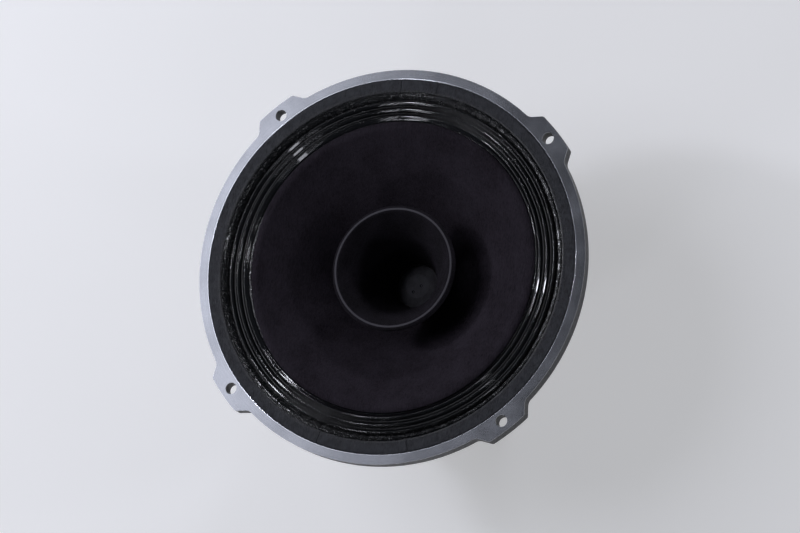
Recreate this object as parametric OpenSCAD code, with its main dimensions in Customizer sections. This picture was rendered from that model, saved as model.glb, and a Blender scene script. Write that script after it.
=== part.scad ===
// Bi-cone loudspeaker driver: a full-range driver of the 8 inch class with a
// small second cone, the whizzer, fixed to the same voice coil as the main cone.
// Z = 0 is the machined front face of the frame, centred on the four mounting
// holes. +Z points forwards, out of the cone, and the magnet is at the back.

/* [Frame] */
// Diameter of the round flange
flange_d = 205; // [203:0.5:208]
// Thickness of the flange and its ears
flange_t = 7; // [6:0.5:9]
// Chamfer on the inner edge of the machined front ring
flange_chamfer = 0.4; // [0.2:0.1:0.6]
// Width of the machined ring around the recess
rim_w = 5.2; // [4.8:0.1:5.6]
// Diameter of a mounting hole
hole_d = 6; // [5:0.5:7]
// Reach of the ears beyond the round flange
ear_reach = 5.45; // [5:0.05:6.5]
// Distance of a mounting hole's centre from the outer edge of its ear
hole_edge = 5.45; // [5:0.05:6]
// Width of an ear's outer edge
ear_top_w = 21.7; // [20:0.1:24]
// Lean of an ear's flanks from its centre line, in degrees
ear_lean = 37; // [30:1:42]
// Radius of an ear's outer corners
ear_corner_r = 1.8; // [1:0.1:2.5]
// Radius of the fillet between an ear and the round flange
ear_fillet_r = 5.5; // [4:0.5:7]
// Width of the seat of the gasket and the surround, inside the recess
seat_w = 9; // [8.5:0.1:9.5]
// Overhang of the flange beyond the body, which enters the baffle's cut-out
overhang_w = 10; // [9:0.5:11]
// Depth of the closed ring behind the front face
spigot_depth = 16; // [14:0.5:18]
// Height of the bowl between the closed ring and a window
window_gap = 1.5; // [1:0.5:3]
// Width of a window at its top
window_top_w = 108; // [104:1:110]
// Width of a window at its bottom
window_bottom_w = 86; // [80:1:88]
// Corner radius of a window
window_corner_r = 8; // [5:0.5:10]
// Height of the closed ring below a window
base_ring_h = 16; // [14:0.5:18]
// Curve of the bowl, where 1 is straight
bowl_curve = 1.5; // [1.4:0.1:1.7]
// Wall of the bowl at its base
bowl_wall = 4.5; // [3.5:0.5:5.5]
// Width of the bowl's flat base outside the circle of the magnet screws
base_edge_w = 11; // [10:0.5:13]
// Thickness of the floor that seats on the top plate
floor_t = 3.5; // [3:0.5:5]
// Hole in the floor around the voice coil
floor_hole_d = 44; // [40:1:50]
// Width of the rib down the back of each arm
rib_w = 6; // [4:0.5:8]
// Height of the plain rim behind a rib's foot
rib_foot_h = 1; // [0.5:0.5:3]
// Height of a rib at its top
rib_top_h = 1; // [0.6:0.1:1.5]
// Height of a rib at the base
rib_h = 3; // [2:0.5:4]

/* [Front gasket] */
// Width of the gasket
gasket_w = 6.6; // [5.8:0.1:7]
// Thickness of the gasket
gasket_t = 3; // [2.5:0.1:4]
// Angles of the joints between the gasket's pieces
gasket_joints = [84, 96, 257, 286]; // [0:1:359]
// Width of the gap at a joint
gasket_gap = 0.3; // [0.2:0.1:0.6]

/* [Surround] */
// Number of corrugations
rolls = 3; // [2:1:4]
// Distance from one corrugation to the next
roll_pitch = 3.75; // [3.4:0.05:4.2]
// Height of a corrugation from valley to crest
roll_h = 1.7; // [1:0.1:2.2]
// Depth of the crests below the front face
roll_depth = 1.5; // [1:0.1:2]
// Thickness of the doped cloth
cloth_t = 0.4; // [0.3:0.05:0.5]
// Clearance of the first corrugation from the edge of the cone
roll_gap_in = 0.7; // [0.6:0.05:1]
// Clearance of the last corrugation from the frame's opening
roll_gap_out = 0.55; // [0.4:0.05:0.8]

/* [Main cone] */
// Width of the flat edge that is glued to the surround
cone_lip_w = 3.3; // [2.5:0.1:4]
// Depth of the back of that edge below the surround's seat
cone_drop = 0.2; // [0:0.05:0.4]
// Depth of the cone from its edge to its neck
cone_depth = 50; // [46:0.5:53]
// Curve of the cone's flare, where 1 is straight
cone_curve = 1.3; // [1.15:0.05:1.5]
// Thickness of the paper
paper_t = 0.7; // [0.5:0.1:1]
// Length of the collar that grips the voice coil former
cone_collar_h = 2.6; // [2:0.1:3.5]

/* [Whizzer cone] */
// Diameter of the mouth, at the middle of the paper where the rolled edge starts
whizzer_d = 58.8; // [54:0.2:63]
// Depth of the mouth below the front face
whizzer_mouth_depth = 8; // [6:0.2:10]
// Thickness of the paper
whizzer_t = 0.8; // [0.6:0.1:1]
// Curve of the flare, where 1 is straight
whizzer_curve = 1.5; // [1.3:0.1:2.2]
// Radius of the rolled edge, at the middle of the paper
whizzer_roll_r = 1.6; // [1.2:0.1:1.8]
// Angle that the edge is rolled through
whizzer_roll_turn = 170; // [130:5:200]
// Length of the collar that grips the voice coil former
whizzer_collar_h = 2.5; // [2:0.1:3]

/* [Dust cap] */
// Height of the dome
dome_h = 3.6; // [2.5:0.1:4.5]
// Thickness of the dome
dome_t = 0.4; // [0.3:0.05:0.5]
// Depth of the dome's edge below the top of the former
dome_inset = 2.7; // [2:0.1:4]
// Length of the skirt that is glued into the former
dome_skirt_h = 2; // [1.5:0.1:3]
// Diameter of a breathing pinhole
pinhole_d = 0.7; // [0.5:0.1:1]

/* [Voice coil] */
// Inner diameter of the former
coil_d = 22.8; // [22:0.1:25]
// Wall of the former
former_t = 0.3; // [0.2:0.05:0.4]
// Length of the winding
winding_h = 10; // [8:0.5:11]
// Thickness of the two layers of wire
winding_t = 0.7; // [0.5:0.05:0.8]
// Depth of the former's top below the flare of the whizzer
former_inset = 0.3; // [0.2:0.1:0.5]
// Length of bare former behind the winding
former_tail_h = 0.5; // [0.4:0.1:1]

/* [Spider] */
// Outer diameter of the spider
spider_d = 81.8; // [80:0.2:83]
// Number of waves
spider_waves = 6; // [4:1:7]
// Height of a wave from valley to crest
spider_wave_h = 2; // [1.4:0.1:2.4]
// Thickness of the cloth
spider_t = 0.5; // [0.4:0.05:0.6]
// Distance from the cone's collar to the spider
spider_drop = 1.5; // [1.2:0.1:2.5]
// Length of the spider's collar behind its plane
spider_collar_h = 2; // [1.5:0.1:2.5]
// Flat cloth between the collar and the first wave
spider_flat_w = 2; // [1:0.1:2.5]
// Clearance of the last wave from the flat edge
wave_gap = 0.8; // [0.5:0.1:1.2]
// Width of the flat edge on its ledge
spider_lip_w = 3.6; // [3:0.1:4]
// Height of the ledge above the frame's floor
ledge_h = 5.25; // [5:0.25:6]
// Width of the ledge beyond the spider's edge
ledge_rim_w = 0.6; // [0.3:0.1:0.8]
// Thickness of the fibre ring on the spider's edge
fibre_ring_t = 1.5; // [1:0.1:2]

/* [Magnet system] */
// Width of the two steel plates outside the circle of the screws
plate_edge_w = 7; // [6:0.5:9]
// Thickness of the top plate
top_plate_t = 6; // [5:0.5:7]
// Chamfer of the back plate
plate_chamfer = 0.8; // [0.5:0.1:1.2]
// Height of the pole above the top plate
pole_rise = 0.5; // [0:0.1:1]
// Width of the ferrite ring beyond the plates
magnet_rim_w = 1; // [0.5:0.5:2]
// Bore of the ferrite ring
magnet_bore_d = 50; // [46:1:54]
// Thickness of the ferrite ring
magnet_t = 16; // [14:0.5:20]
// Chamfer of the ferrite ring
magnet_chamfer = 1.5; // [1:0.1:2]
// Thickness of the back plate
back_plate_t = 6; // [5:0.5:8]
// Gap from the pole to the former
pole_gap = 0.6; // [0.4:0.05:0.8]
// Gap from the winding to the top plate
coil_gap = 0.6; // [0.4:0.05:0.8]
// Bore of the vent through the pole
vent_d = 8; // [6:0.5:10]
// Diameter of the vent's mesh disc
mesh_d = 14; // [12:0.5:16]
// Thickness of the mesh disc
mesh_t = 0.6; // [0.4:0.1:1]
// Depth of the mesh disc in the back plate
mesh_inset = 0.4; // [0.2:0.1:0.6]
// Distance between the holes of the mesh
mesh_pitch = 1.75; // [1.5:0.05:2]
// Diameter of a hole of the mesh
mesh_hole_d = 1.15; // [0.9:0.05:1.25]

/* [Magnet screws] */
// Diameter of the screws' thread
screw_d = 5; // [4:0.5:5]
// Circle of the four screws
screw_circle_d = 94; // [92.5:0.5:95]
// Diameter of a screw's head
screw_head_d = 9; // [8:0.5:9]
// Height of a screw's head
screw_head_h = 3; // [2.5:0.5:4]
// Width of a recess of the cross in a head
cross_w = 1; // [0.8:0.1:1.4]
// Clearance of a screw in the frame's floor
screw_clear = 0.25; // [0.1:0.05:0.4]
// Thickness of a washer
washer_t = 1; // [0.8:0.1:1.5]
// Width of a washer beyond the head
washer_rim = 0.3; // [0.1:0.05:0.4]
// Clearance of a screw in its washer
washer_clear = 0.15; // [0.1:0.05:0.3]
// Depth of the machined seat of a washer
washer_seat_h = 0.2; // [0.1:0.05:0.4]
// Depth of a screw in the top plate
screw_bite = 4.8; // [4:0.1:5]

/* [Terminals] */
// Distance of the board's inner face from the outside of the bowl at its windows
board_inset = 1.94; // [1.5:0.02:2.5]
// Width of the board
board_w = 36; // [34:0.5:40]
// Height of the board
board_h = 13; // [12.5:0.5:14]
// Thickness of the board
board_t = 1.6; // [1.2:0.1:2]
// Depth of the board's centre below the front face
board_depth = 43; // [42.5:0.5:43]
// Distance between the two solder tags
tag_pitch = 24; // [22:0.5:26]
// Width of a solder tag
tag_w = 5; // [4.5:0.25:5.5]
// Thickness of a solder tag
tag_t = 0.6; // [0.5:0.05:0.8]
// Reach of a tag's blade beyond the board
tag_reach = 8; // [6:0.5:9]
// Width of the lug that carries the board
lug_w = 14; // [12:0.5:15]
// Thickness of the lug
lug_t = 4; // [3:0.5:4]
// Height of the lug's root on the base ring
lug_root_h = 6; // [4:0.5:8]
// Distance of a tag's foot from the board's lower edge
tag_inset = 1.5; // [1:0.1:2]
// Distance of a tag's blade from the board's upper edge
blade_inset = 0.5; // [0.3:0.1:1]
// Diameter of the hole in a blade
blade_hole_d = 1.8; // [1.4:0.1:2.2]
// Distance of that hole from the blade's end
blade_hole_inset = 2.2; // [1.8:0.1:2.6]
// Diameter of a tag's rivet
tag_rivet_d = 2.4; // [2:0.1:2.8]
// Diameter of its heads
tag_rivet_head_d = 4.2; // [3.6:0.1:4.4]
// Height of its heads
tag_rivet_head_t = 0.5; // [0.4:0.1:0.8]
// Distance between the two rivets of the board
board_rivet_pitch = 6.4; // [6.2:0.1:6.8]
// Diameter of a board's rivet
board_rivet_d = 2.8; // [2.4:0.1:3.2]
// Diameter of its heads
board_rivet_head_d = 5; // [4.4:0.1:5.4]
// Height of its heads
board_rivet_head_t = 0.9; // [0.6:0.1:1.2]

/* [Leads] */
// Diameter of a braided lead
lead_d = 1.6; // [1.2:0.1:2]
// Radius of the circle of the solder joints on the cone
joint_circle_r = 31; // [30:0.5:32]
// Angle of a solder joint from the terminals' direction
joint_angle = 16; // [15:0.5:17]
// Diameter of a solder joint
joint_d = 4.4; // [4:0.2:5]
// Height of a solder joint
joint_h = 1.6; // [1.4:0.1:1.8]
// Straight end of a lead in front of its solder joint
lead_straight = 1.8; // [1.4:0.1:2.4]
// Diameter of the insulated wire from the coil
tail_d = 0.8; // [0.6:0.1:1]

/* [Hidden] */

$fn = 96;
eps = 0.01;
// Clearance of a piece that drops into a recess
slip = 0.1;
// Layer of glue between a collar and the former
glue = 0.05;
// Layer of glue or solder between a piece and the paper of a cone
bond = 0.15;
// Overrun of a cut past the faces that it goes through
cut = 1;
// Steps along a curved outline
curve_steps = 32;
// Steps along an arc of the ears' outline
arc_steps = 10;

flange_r = flange_d / 2;
ear_r = flange_r + ear_reach;
hole_circle_r = ear_r - hole_edge;
recess_r = flange_r - rim_w;
opening_r = recess_r - seat_w;
spigot_r = flange_r - overhang_w;
screw_circle_r = screw_circle_d / 2;
base_r = screw_circle_r + base_edge_w;
plate_r = screw_circle_r + plate_edge_w;
magnet_r = plate_r + magnet_rim_w;
ear_angles = [45, 135, 225, 315];
window_angles = [0, 90, 180, 270];

// Depths from the front face, as Z values
seat_z = -(gasket_t + cloth_t);
roll_mid_z = -(roll_depth + cloth_t / 2 + roll_h / 2);
cone_back_z = seat_z - cone_drop;
cone_lip_z = cone_back_z + paper_t;
neck_z = cone_lip_z - cone_depth;
cone_collar_z = neck_z - cone_collar_h;
spider_z = cone_collar_z - spider_drop;
floor_z = spider_z - spider_t / 2 - ledge_h;
plate_z = floor_z - floor_t;
magnet_z = plate_z - top_plate_t;
back_z = magnet_z - magnet_t;
rear_z = back_z - back_plate_t;

// Radii around the voice coil
coil_r = coil_d / 2;
former_r = coil_r + former_t;
neck_r = former_r + glue;
winding_r = former_r + winding_t;
gap_r = winding_r + coil_gap;
pole_r = coil_r - pole_gap;
pole_top_z = plate_z + pole_rise;
winding_mid_z = plate_z - top_plate_t / 2;
former_bottom_z = winding_mid_z - winding_h / 2 - former_tail_h;

// Radii across the surround
roll_out_r = opening_r - roll_gap_out;
roll_in_r = roll_out_r - rolls * roll_pitch;
cone_r = roll_in_r - roll_gap_in;
cone_flat_r = cone_r - cone_lip_w;

// The whizzer stands just above the place where the cone leaves the former
whizzer_r = whizzer_d / 2;
whizzer_mouth_z = -whizzer_mouth_depth;
whizzer_seat_t = pow((whizzer_t + bond) / (cone_flat_r - neck_r), 1 / cone_curve);
whizzer_seat_z = neck_z + whizzer_seat_t * cone_depth + bond;
whizzer_base_z = whizzer_seat_z + whizzer_collar_h;
former_top_z = whizzer_base_z - former_inset;
dome_r = coil_r - glue;
dome_base_z = former_top_z - dome_inset;
// Places of the two pinholes in the dome
pinholes = [[2.3, 0.2], [-1.5, -3.4]];

spider_out_r = spider_d / 2;
spider_lip_r = spider_out_r - spider_lip_w;
wave_in_r = neck_r + spider_t + spider_flat_w;
wave_out_r = spider_lip_r - wave_gap;
ledge_in_r = spider_lip_r + 2 * slip;
ledge_out_r = spider_out_r + ledge_rim_w;
screw_angles = [0, 90, 180, 270];
washer_r = screw_head_d / 2 + washer_rim;
washer_z = floor_z - washer_seat_h;
screw_top_z = washer_z + washer_t;

board_z = -board_depth;
board_y = bowl_radius(spigot_r, base_r, -spigot_depth, plate_z, plate_z + base_ring_h)
    - board_inset;
board_out_y = board_y + board_t;
tag_x = tag_pitch / 2;
tag_rivet_r = tag_rivet_d / 2;
board_rivet_r = board_rivet_d / 2;

// Points of the positive lead between its two ends, chosen by hand
lead_middle = [[12, -73, -43], [11.9, -70, -43.7], [11.7, -66.5, -45], [11.4, -63, -46.3],
    [11.1, -59, -47.3], [10.8, -55, -47.8], [10.5, -51, -47.7], [10.2, -47, -46.9],
    [9.9, -43.5, -45.4], [9.7, -40.3, -43.4], [9.5, -37.4, -41.2], [9.3, -34.6, -38.8]];

function polar(r, a) = [r * cos(a), r * sin(a)];
function unit(v) = v / norm(v);
function reversed(list) = [for (i = [len(list) - 1:-1:0]) list[i]];

// Outline of the bowl: it leaves the closed ring straight and rounds in to the base
function bulge(s) = pow(1 - pow(s, bowl_curve), 1 / bowl_curve);
function bowl_radius(r_top, r_base, z_top, z_base, z) =
    r_base + (r_top - r_base) * bulge((z - z_top) / (z_base - z_top));
function bowl_line(r_top, r_base, z_top, z_base) =
    [for (i = [0:curve_steps]) let (z = z_top + (z_base - z_top) * i / curve_steps)
        [bowl_radius(r_top, r_base, z_top, z_base, z), z]];

// Front surface of the main cone, from t = 0 at the neck to t = 1 at the flat edge
function cone_point(t) =
    [neck_r + (cone_flat_r - neck_r) * pow(t, cone_curve), neck_z + t * cone_depth];
function cone_slope(t) =
    (cone_flat_r - neck_r) * cone_curve * pow(t, cone_curve - 1) / cone_depth;
function cone_normal(t) = unit([1, -cone_slope(t)]);
function cone_back_point(t) = cone_point(t) + paper_t * cone_normal(t);
function cone_t_at(r) = pow((r - neck_r) / (cone_flat_r - neck_r), 1 / cone_curve);
// Radius at which the back of the flat edge begins
cone_lip_in_r = cone_back_point(1)[0] + paper_t / 2;

// Middle of the whizzer's wall, from t = 0 at its collar to t = 1 at its mouth
function whizzer_point(t) =
    [neck_r + whizzer_t / 2 + (whizzer_r - neck_r - whizzer_t / 2) * pow(t, whizzer_curve),
        whizzer_base_z + t * (whizzer_mouth_z - whizzer_base_z)];
function whizzer_slope(t) =
    (whizzer_r - neck_r - whizzer_t / 2) * whizzer_curve * pow(t, whizzer_curve - 1)
        / (whizzer_mouth_z - whizzer_base_z);
function whizzer_normal(t) = unit([1, -whizzer_slope(t)]);

// Round tube of radius r swept along the points p, which don't run along X
function tube_dir(p, i) = unit(p[min(i + 1, len(p) - 1)] - p[max(i - 1, 0)]);
module tube(p, r, sides) {
    n = len(p);
    ring_points = [for (i = [0:n - 1])
        let (d = tube_dir(p, i), e1 = unit(cross(d, [1, 0, 0])), e2 = cross(d, e1))
            for (k = [0:sides - 1])
                p[i] + r * (cos(360 * k / sides) * e1 + sin(360 * k / sides) * e2)];
    walls = [for (i = [0:n - 2], k = [0:sides - 1])
        let (a = i * sides + k, b = i * sides + (k + 1) % sides)
            for (face = [[a, a + sides, b + sides], [a, b + sides, b]]) face];
    caps = [[for (k = [0:sides - 1]) k], [for (k = [sides - 1:-1:0]) (n - 1) * sides + k]];
    polyhedron(points = ring_points, faces = concat(walls, caps), convexity = 6);
}

// Plain ring between two radii and two heights
module ring(r_in, r_out, z_low, z_high) {
    rotate_extrude()
        translate([r_in, z_low])
            square([r_out - r_in, z_high - z_low]);
}

// Copies of a piece at equal radius, one for each angle
module around(r, angles) {
    for (a = angles)
        rotate([0, 0, a])
            translate([r, 0, 0])
                children();
}

// Points along an arc, both ends included
function arc(centre, r, from, to) =
    [for (i = [0:arc_steps]) centre + polar(r, from + (to - from) * i / arc_steps)];

// Outline of an ear that points along X. Its fillets run a little way into the flange.
module ear_outline() {
    flank = 90 - ear_lean;
    n = polar(1, flank);
    d = polar(1, flank + 90);
    top = [sqrt(pow(ear_r, 2) - pow(ear_top_w / 2, 2)), ear_top_w / 2];
    root_r = flange_r - slip;
    c = (n * top - ear_corner_r) * n
        - sqrt(pow(ear_r - ear_corner_r, 2) - pow(n * top - ear_corner_r, 2)) * d;
    q = (n * top + ear_fillet_r) * n
        - sqrt(pow(root_r + ear_fillet_r, 2) - pow(n * top + ear_fillet_r, 2)) * d;
    c_angle = atan2(c[1], c[0]);
    q_angle = atan2(q[1], q[0]);
    half = concat(arc(c, ear_corner_r, c_angle, flank),
        arc(q, ear_fillet_r, flank + 180, q_angle + 180),
        [polar(recess_r, q_angle)]);
    edge = [for (i = [1:arc_steps - 1]) polar(ear_r, c_angle * (2 * i / arc_steps - 1))];
    polygon(concat([for (p = reversed(half)) [p[0], -p[1]]], edge, half));
}

// The flange before it is hollowed, with its four ears
module flange_blank() {
    translate([0, 0, -flange_t])
        linear_extrude(flange_t)
            union() {
                circle(flange_r, $fn = 180);
                for (a = ear_angles)
                    rotate(a)
                        ear_outline();
            }
}

// Outline of a window with round corners, in the plane of its width and its height
module window_outline() {
    r = window_corner_r;
    z_top = -spigot_depth - window_gap;
    z_low = plate_z + base_ring_h;
    x_top = window_top_w / 2;
    x_low = window_bottom_w / 2;
    side = unit([z_top - z_low, x_low - x_top]);
    reach = r * (1 + side[1]) / side[0];
    top = [x_top - reach, z_top - r];
    low = [x_low - reach + 2 * r * side[1] / side[0], z_low + r];
    for (m = [0, 1])
        mirror([m, 0]) {
            polygon([[0, z_top], top + [0, r], top + r * side, low + r * side, low - [0, r],
                [0, z_low]]);
            translate(top)
                circle(r);
            translate(low)
                circle(r);
        }
}

module windows() {
    for (a = window_angles)
        rotate([0, 0, a])
            translate([gap_r, 0, 0])
                rotate([90, 0, 90])
                    linear_extrude(spigot_r)
                        window_outline();
}

// Closed ring and bowl before they are hollowed
module bowl_blank() {
    top_z = -flange_t / 2;
    rotate_extrude($fn = 180)
        polygon(concat([[0, top_z], [spigot_r, top_z]],
            bowl_line(spigot_r, base_r, -spigot_depth, plate_z), [[0, plate_z]]));
}

// Everything inside the frame: recess of the gasket, opening and the inside of the bowl
module hollow() {
    c = flange_chamfer;
    rotate_extrude($fn = 180)
        polygon(concat([[0, cut], [recess_r + c + cut, cut], [recess_r, -c],
            [recess_r, seat_z], [opening_r, seat_z]],
            bowl_line(opening_r, base_r - bowl_wall, -spigot_depth, floor_z),
            [[0, floor_z]]));
}

// Rib down the back of each arm: it starts below the closed ring and grows to the base
module ribs() {
    bowl = bowl_line(spigot_r, base_r, -spigot_depth, plate_z);
    first = floor(curve_steps / 4);
    run = curve_steps - first;
    outer = [for (i = [0:run])
        bowl[first + i] + [rib_top_h + (rib_h - rib_top_h) * i / run, 0]];
    inner = [for (i = [0:run]) bowl[first + i] - [bowl_wall / 2, 0]];
    intersection() {
        rotate_extrude($fn = 180)
            polygon(concat(outer, reversed(inner)));
        for (a = ear_angles)
            rotate([0, 0, a])
                translate([0, -rib_w / 2, plate_z + rib_foot_h])
                    cube([spigot_r, rib_w, -plate_z]);
    }
}

module basket() {
    lug_z = plate_z + base_ring_h - lug_root_h;
    color("#8f949b")
        difference() {
            union() {
                difference() {
                    union() {
                        flange_blank();
                        bowl_blank();
                        ribs();
                    }
                    hollow();
                    windows();
                }
                ring(ledge_in_r, ledge_out_r, floor_z - eps, floor_z + ledge_h);
                translate([-lug_w / 2, -board_y, lug_z])
                    cube([lug_w, lug_t, board_z + board_h / 2 - lug_z]);
            }
            translate([0, 0, plate_z - cut])
                cylinder(h = floor_t + 2 * cut, d = floor_hole_d);
            around(hole_circle_r, ear_angles)
                translate([0, 0, -flange_t - cut])
                    cylinder(h = flange_t + 2 * cut, d = hole_d);
            around(screw_circle_r, screw_angles) {
                translate([0, 0, plate_z - cut])
                    cylinder(h = floor_t + 2 * cut, r = screw_d / 2 + screw_clear);
                translate([0, 0, washer_z])
                    cylinder(h = washer_seat_h + ledge_h + cut, r = washer_r + 2 * slip);
            }
            board_fixings()
                cylinder(h = 2 * board_y, r = board_rivet_r + glue);
        }
}

// The gasket is laid in pieces, end to end
module front_gasket() {
    r_out = recess_r - slip;
    r_in = r_out - gasket_w;
    gap = gasket_gap / r_out * 180 / PI;
    color("#3b3c40")
        for (i = [0:len(gasket_joints) - 1]) {
            start = gasket_joints[i];
            end = i + 1 < len(gasket_joints) ? gasket_joints[i + 1] : gasket_joints[0] + 360;
            rotate([0, 0, start + gap / 2])
                rotate_extrude(angle = end - start - gap)
                    translate([r_in, -gasket_t])
                        square([gasket_w, gasket_t]);
        }
}

module surround() {
    steps = 14 * rolls;
    lip_z = cone_back_z - cloth_t / 2;
    seat_mid_z = seat_z + cloth_t / 2;
    line = concat(
        [[cone_lip_in_r, lip_z], [roll_in_r - cloth_t, lip_z]],
        [for (i = [0:steps]) let (u = i / steps * rolls)
            [roll_in_r + u * roll_pitch, roll_mid_z - roll_h / 2 * cos(360 * u)]],
        [[opening_r - 2 * slip, seat_mid_z], [recess_r - slip, seat_mid_z]]);
    color("#101114")
        rotate_extrude()
            polygon(concat([for (p = line) p + [0, cloth_t / 2]],
                [for (p = reversed(line)) p - [0, cloth_t / 2]]));
}

module main_cone() {
    ts = [for (i = [0:curve_steps]) i / curve_steps];
    color("#232223")
        rotate_extrude()
            polygon(concat(
                [[neck_r, cone_collar_z]],
                [for (t = ts) cone_point(t)],
                [[cone_r, cone_lip_z], [cone_r, cone_back_z]],
                [[cone_lip_in_r, cone_back_z]],
                [for (t = reversed(ts)) cone_back_point(t)],
                [[neck_r + paper_t, cone_collar_z]]));
}

module whizzer_cone() {
    half = whizzer_t / 2;
    ts = [for (i = [0:curve_steps]) i / curve_steps];
    roll_middle = whizzer_point(1) + whizzer_roll_r * whizzer_normal(1);
    start_angle = 180 - atan(whizzer_slope(1));
    roll_steps = 20;
    angles = [for (i = [1:roll_steps]) start_angle - whizzer_roll_turn * i / roll_steps];
    color("#2c2c2e")
        rotate_extrude()
            polygon(concat(
                [[neck_r, whizzer_seat_z]],
                [for (t = ts) whizzer_point(t) - half * whizzer_normal(t)],
                [for (a = angles) roll_middle + polar(whizzer_roll_r + half, a)],
                [for (a = reversed(angles)) roll_middle + polar(whizzer_roll_r - half, a)],
                [for (t = reversed(ts)) whizzer_point(t) + half * whizzer_normal(t)],
                [[neck_r + whizzer_t, whizzer_seat_z]]));
}

module dust_cap() {
    ball_r = (pow(dome_r, 2) + pow(dome_h, 2)) / (2 * dome_h);
    ball_z = dome_base_z + dome_h - ball_r;
    a_out = asin(dome_r / ball_r);
    a_in = asin((dome_r - dome_t) / (ball_r - dome_t));
    steps = 12;
    color("#2b2b2d")
        difference() {
            rotate_extrude()
                polygon(concat(
                    [for (i = [0:steps]) let (a = a_out * i / steps)
                        [ball_r * sin(a), ball_z + ball_r * cos(a)]],
                    [[dome_r, dome_base_z - dome_skirt_h],
                        [dome_r - dome_t, dome_base_z - dome_skirt_h]],
                    [for (i = [steps:-1:0]) let (a = a_in * i / steps)
                        [(ball_r - dome_t) * sin(a), ball_z + (ball_r - dome_t) * cos(a)]]));
            for (p = pinholes)
                translate([p[0], p[1], dome_base_z])
                    cylinder(h = 2 * dome_h, d = pinhole_d, $fn = 24);
        }
}

module voice_coil_former() {
    color("#c9a66b")
        ring(coil_r, former_r, former_bottom_z, former_top_z);
}

module voice_coil_winding() {
    color("#b4662e")
        ring(former_r, winding_r, winding_mid_z - winding_h / 2, winding_mid_z + winding_h / 2);
}

module spider() {
    steps = 10 * spider_waves;
    collar_low_z = spider_z - spider_collar_h;
    collar_high_z = spider_z + spider_t / 2;
    half = spider_t / 2;
    line = concat(
        [[neck_r + spider_t, spider_z]],
        [for (i = [0:steps]) let (u = i / steps * spider_waves)
            [wave_in_r + (wave_out_r - wave_in_r) * i / steps,
                spider_z + spider_wave_h / 2 * sin(360 * u)]],
        [[spider_lip_r, spider_z], [spider_out_r, spider_z]]);
    color("#c8a25a")
        rotate_extrude()
            polygon(concat(
                [[neck_r, collar_low_z], [neck_r, collar_high_z]],
                [for (p = line) p + [0, half]],
                [for (p = reversed(line)) p - [0, half]],
                [[neck_r + spider_t, collar_low_z]]));
}

module spider_ring() {
    color("#4a3526")
        ring(ledge_in_r, spider_out_r, spider_z + spider_t / 2,
            spider_z + spider_t / 2 + fibre_ring_t);
}

module top_plate() {
    color("#b9bcc0")
        difference() {
            ring(gap_r, plate_r, magnet_z, plate_z);
            around(screw_circle_r, screw_angles)
                translate([0, 0, magnet_z - cut])
                    cylinder(h = top_plate_t + 2 * cut, d = screw_d);
        }
}

module magnet_ring() {
    c = magnet_chamfer;
    r = magnet_r;
    bore = magnet_bore_d / 2;
    color("#2a2a2d")
        rotate_extrude()
            polygon([[bore, back_z], [r - c, back_z], [r, back_z + c], [r, magnet_z - c],
                [r - c, magnet_z], [bore, magnet_z]]);
}

module back_plate() {
    c = plate_chamfer;
    r = plate_r;
    mesh_seat_z = rear_z + mesh_inset + mesh_t;
    color("#b9bcc0")
        rotate_extrude()
            polygon([[vent_d / 2, back_z], [r, back_z], [r, rear_z + c], [r - c, rear_z],
                [mesh_d / 2 + slip, rear_z], [mesh_d / 2 + slip, mesh_seat_z],
                [vent_d / 2, mesh_seat_z]]);
}

module pole_piece() {
    color("#a9acb0")
        ring(vent_d / 2, pole_r, back_z, pole_top_z);
}

// Round disc with a hexagonal field of small holes
module vent_mesh() {
    n = ceil(vent_d / mesh_pitch);
    color("#9a9da2")
        translate([0, 0, rear_z + mesh_inset])
            difference() {
                cylinder(h = mesh_t, d = mesh_d);
                for (i = [-n:n], j = [-n:n]) {
                    p = mesh_pitch * [i + j / 2, j * sqrt(3) / 2];
                    if (norm(p) < vent_d / 2)
                        translate([p[0], p[1], -cut])
                            cylinder(h = mesh_t + 2 * cut, d = mesh_hole_d, $fn = 16);
                }
            }
}

module motor_screws() {
    cross = [screw_d - slip, cross_w, screw_head_h / 2];
    color("#cfd1d4")
        around(screw_circle_r, screw_angles)
            difference() {
                union() {
                    translate([0, 0, screw_top_z])
                        cylinder(h = screw_head_h, d = screw_head_d);
                    translate([0, 0, plate_z - screw_bite])
                        cylinder(h = screw_top_z - plate_z + screw_bite + eps,
                            d = screw_d - slip);
                }
                for (a = [0, 90])
                    rotate([0, 0, a])
                        translate([-cross[0] / 2, -cross[1] / 2,
                            screw_top_z + screw_head_h - cross[2]])
                            cube(cross + [0, 0, cut]);
            }
}

module motor_washers() {
    color("#cfd1d4")
        around(screw_circle_r, screw_angles)
            translate([0, 0, washer_z])
                difference() {
                    cylinder(h = washer_t, r = washer_r);
                    translate([0, 0, -cut])
                        cylinder(h = washer_t + 2 * cut, r = screw_d / 2 + washer_clear);
                }
}

// Places along -Y for whatever goes through the terminal board
module along_board(x, z) {
    translate([x, 0, z])
        rotate([90, 0, 0])
            children();
}

module board_fixings() {
    for (s = [-1, 1])
        along_board(0, board_z + s * board_rivet_pitch / 2)
            children();
}

module tag_places() {
    for (s = [-1, 1])
        along_board(s * tag_x, board_z)
            children();
}

module terminal_board() {
    color("#6b3f22")
        difference() {
            translate([-board_w / 2, -board_out_y, board_z - board_h / 2])
                cube([board_w, board_t, board_h]);
            board_fixings()
                cylinder(h = 2 * board_y, r = board_rivet_r + glue);
            tag_places()
                cylinder(h = 2 * board_y, r = tag_rivet_r + glue);
        }
}

// A rivet whose shank runs along the local Z from one distance to another
module rivet(from, to, r, head_r, head_t) {
    translate([0, 0, from - head_t])
        cylinder(h = head_t, r = head_r);
    translate([0, 0, from - eps])
        cylinder(h = to - from + 2 * eps, r = r);
    translate([0, 0, to])
        cylinder(h = head_t, r = head_r);
}

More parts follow.
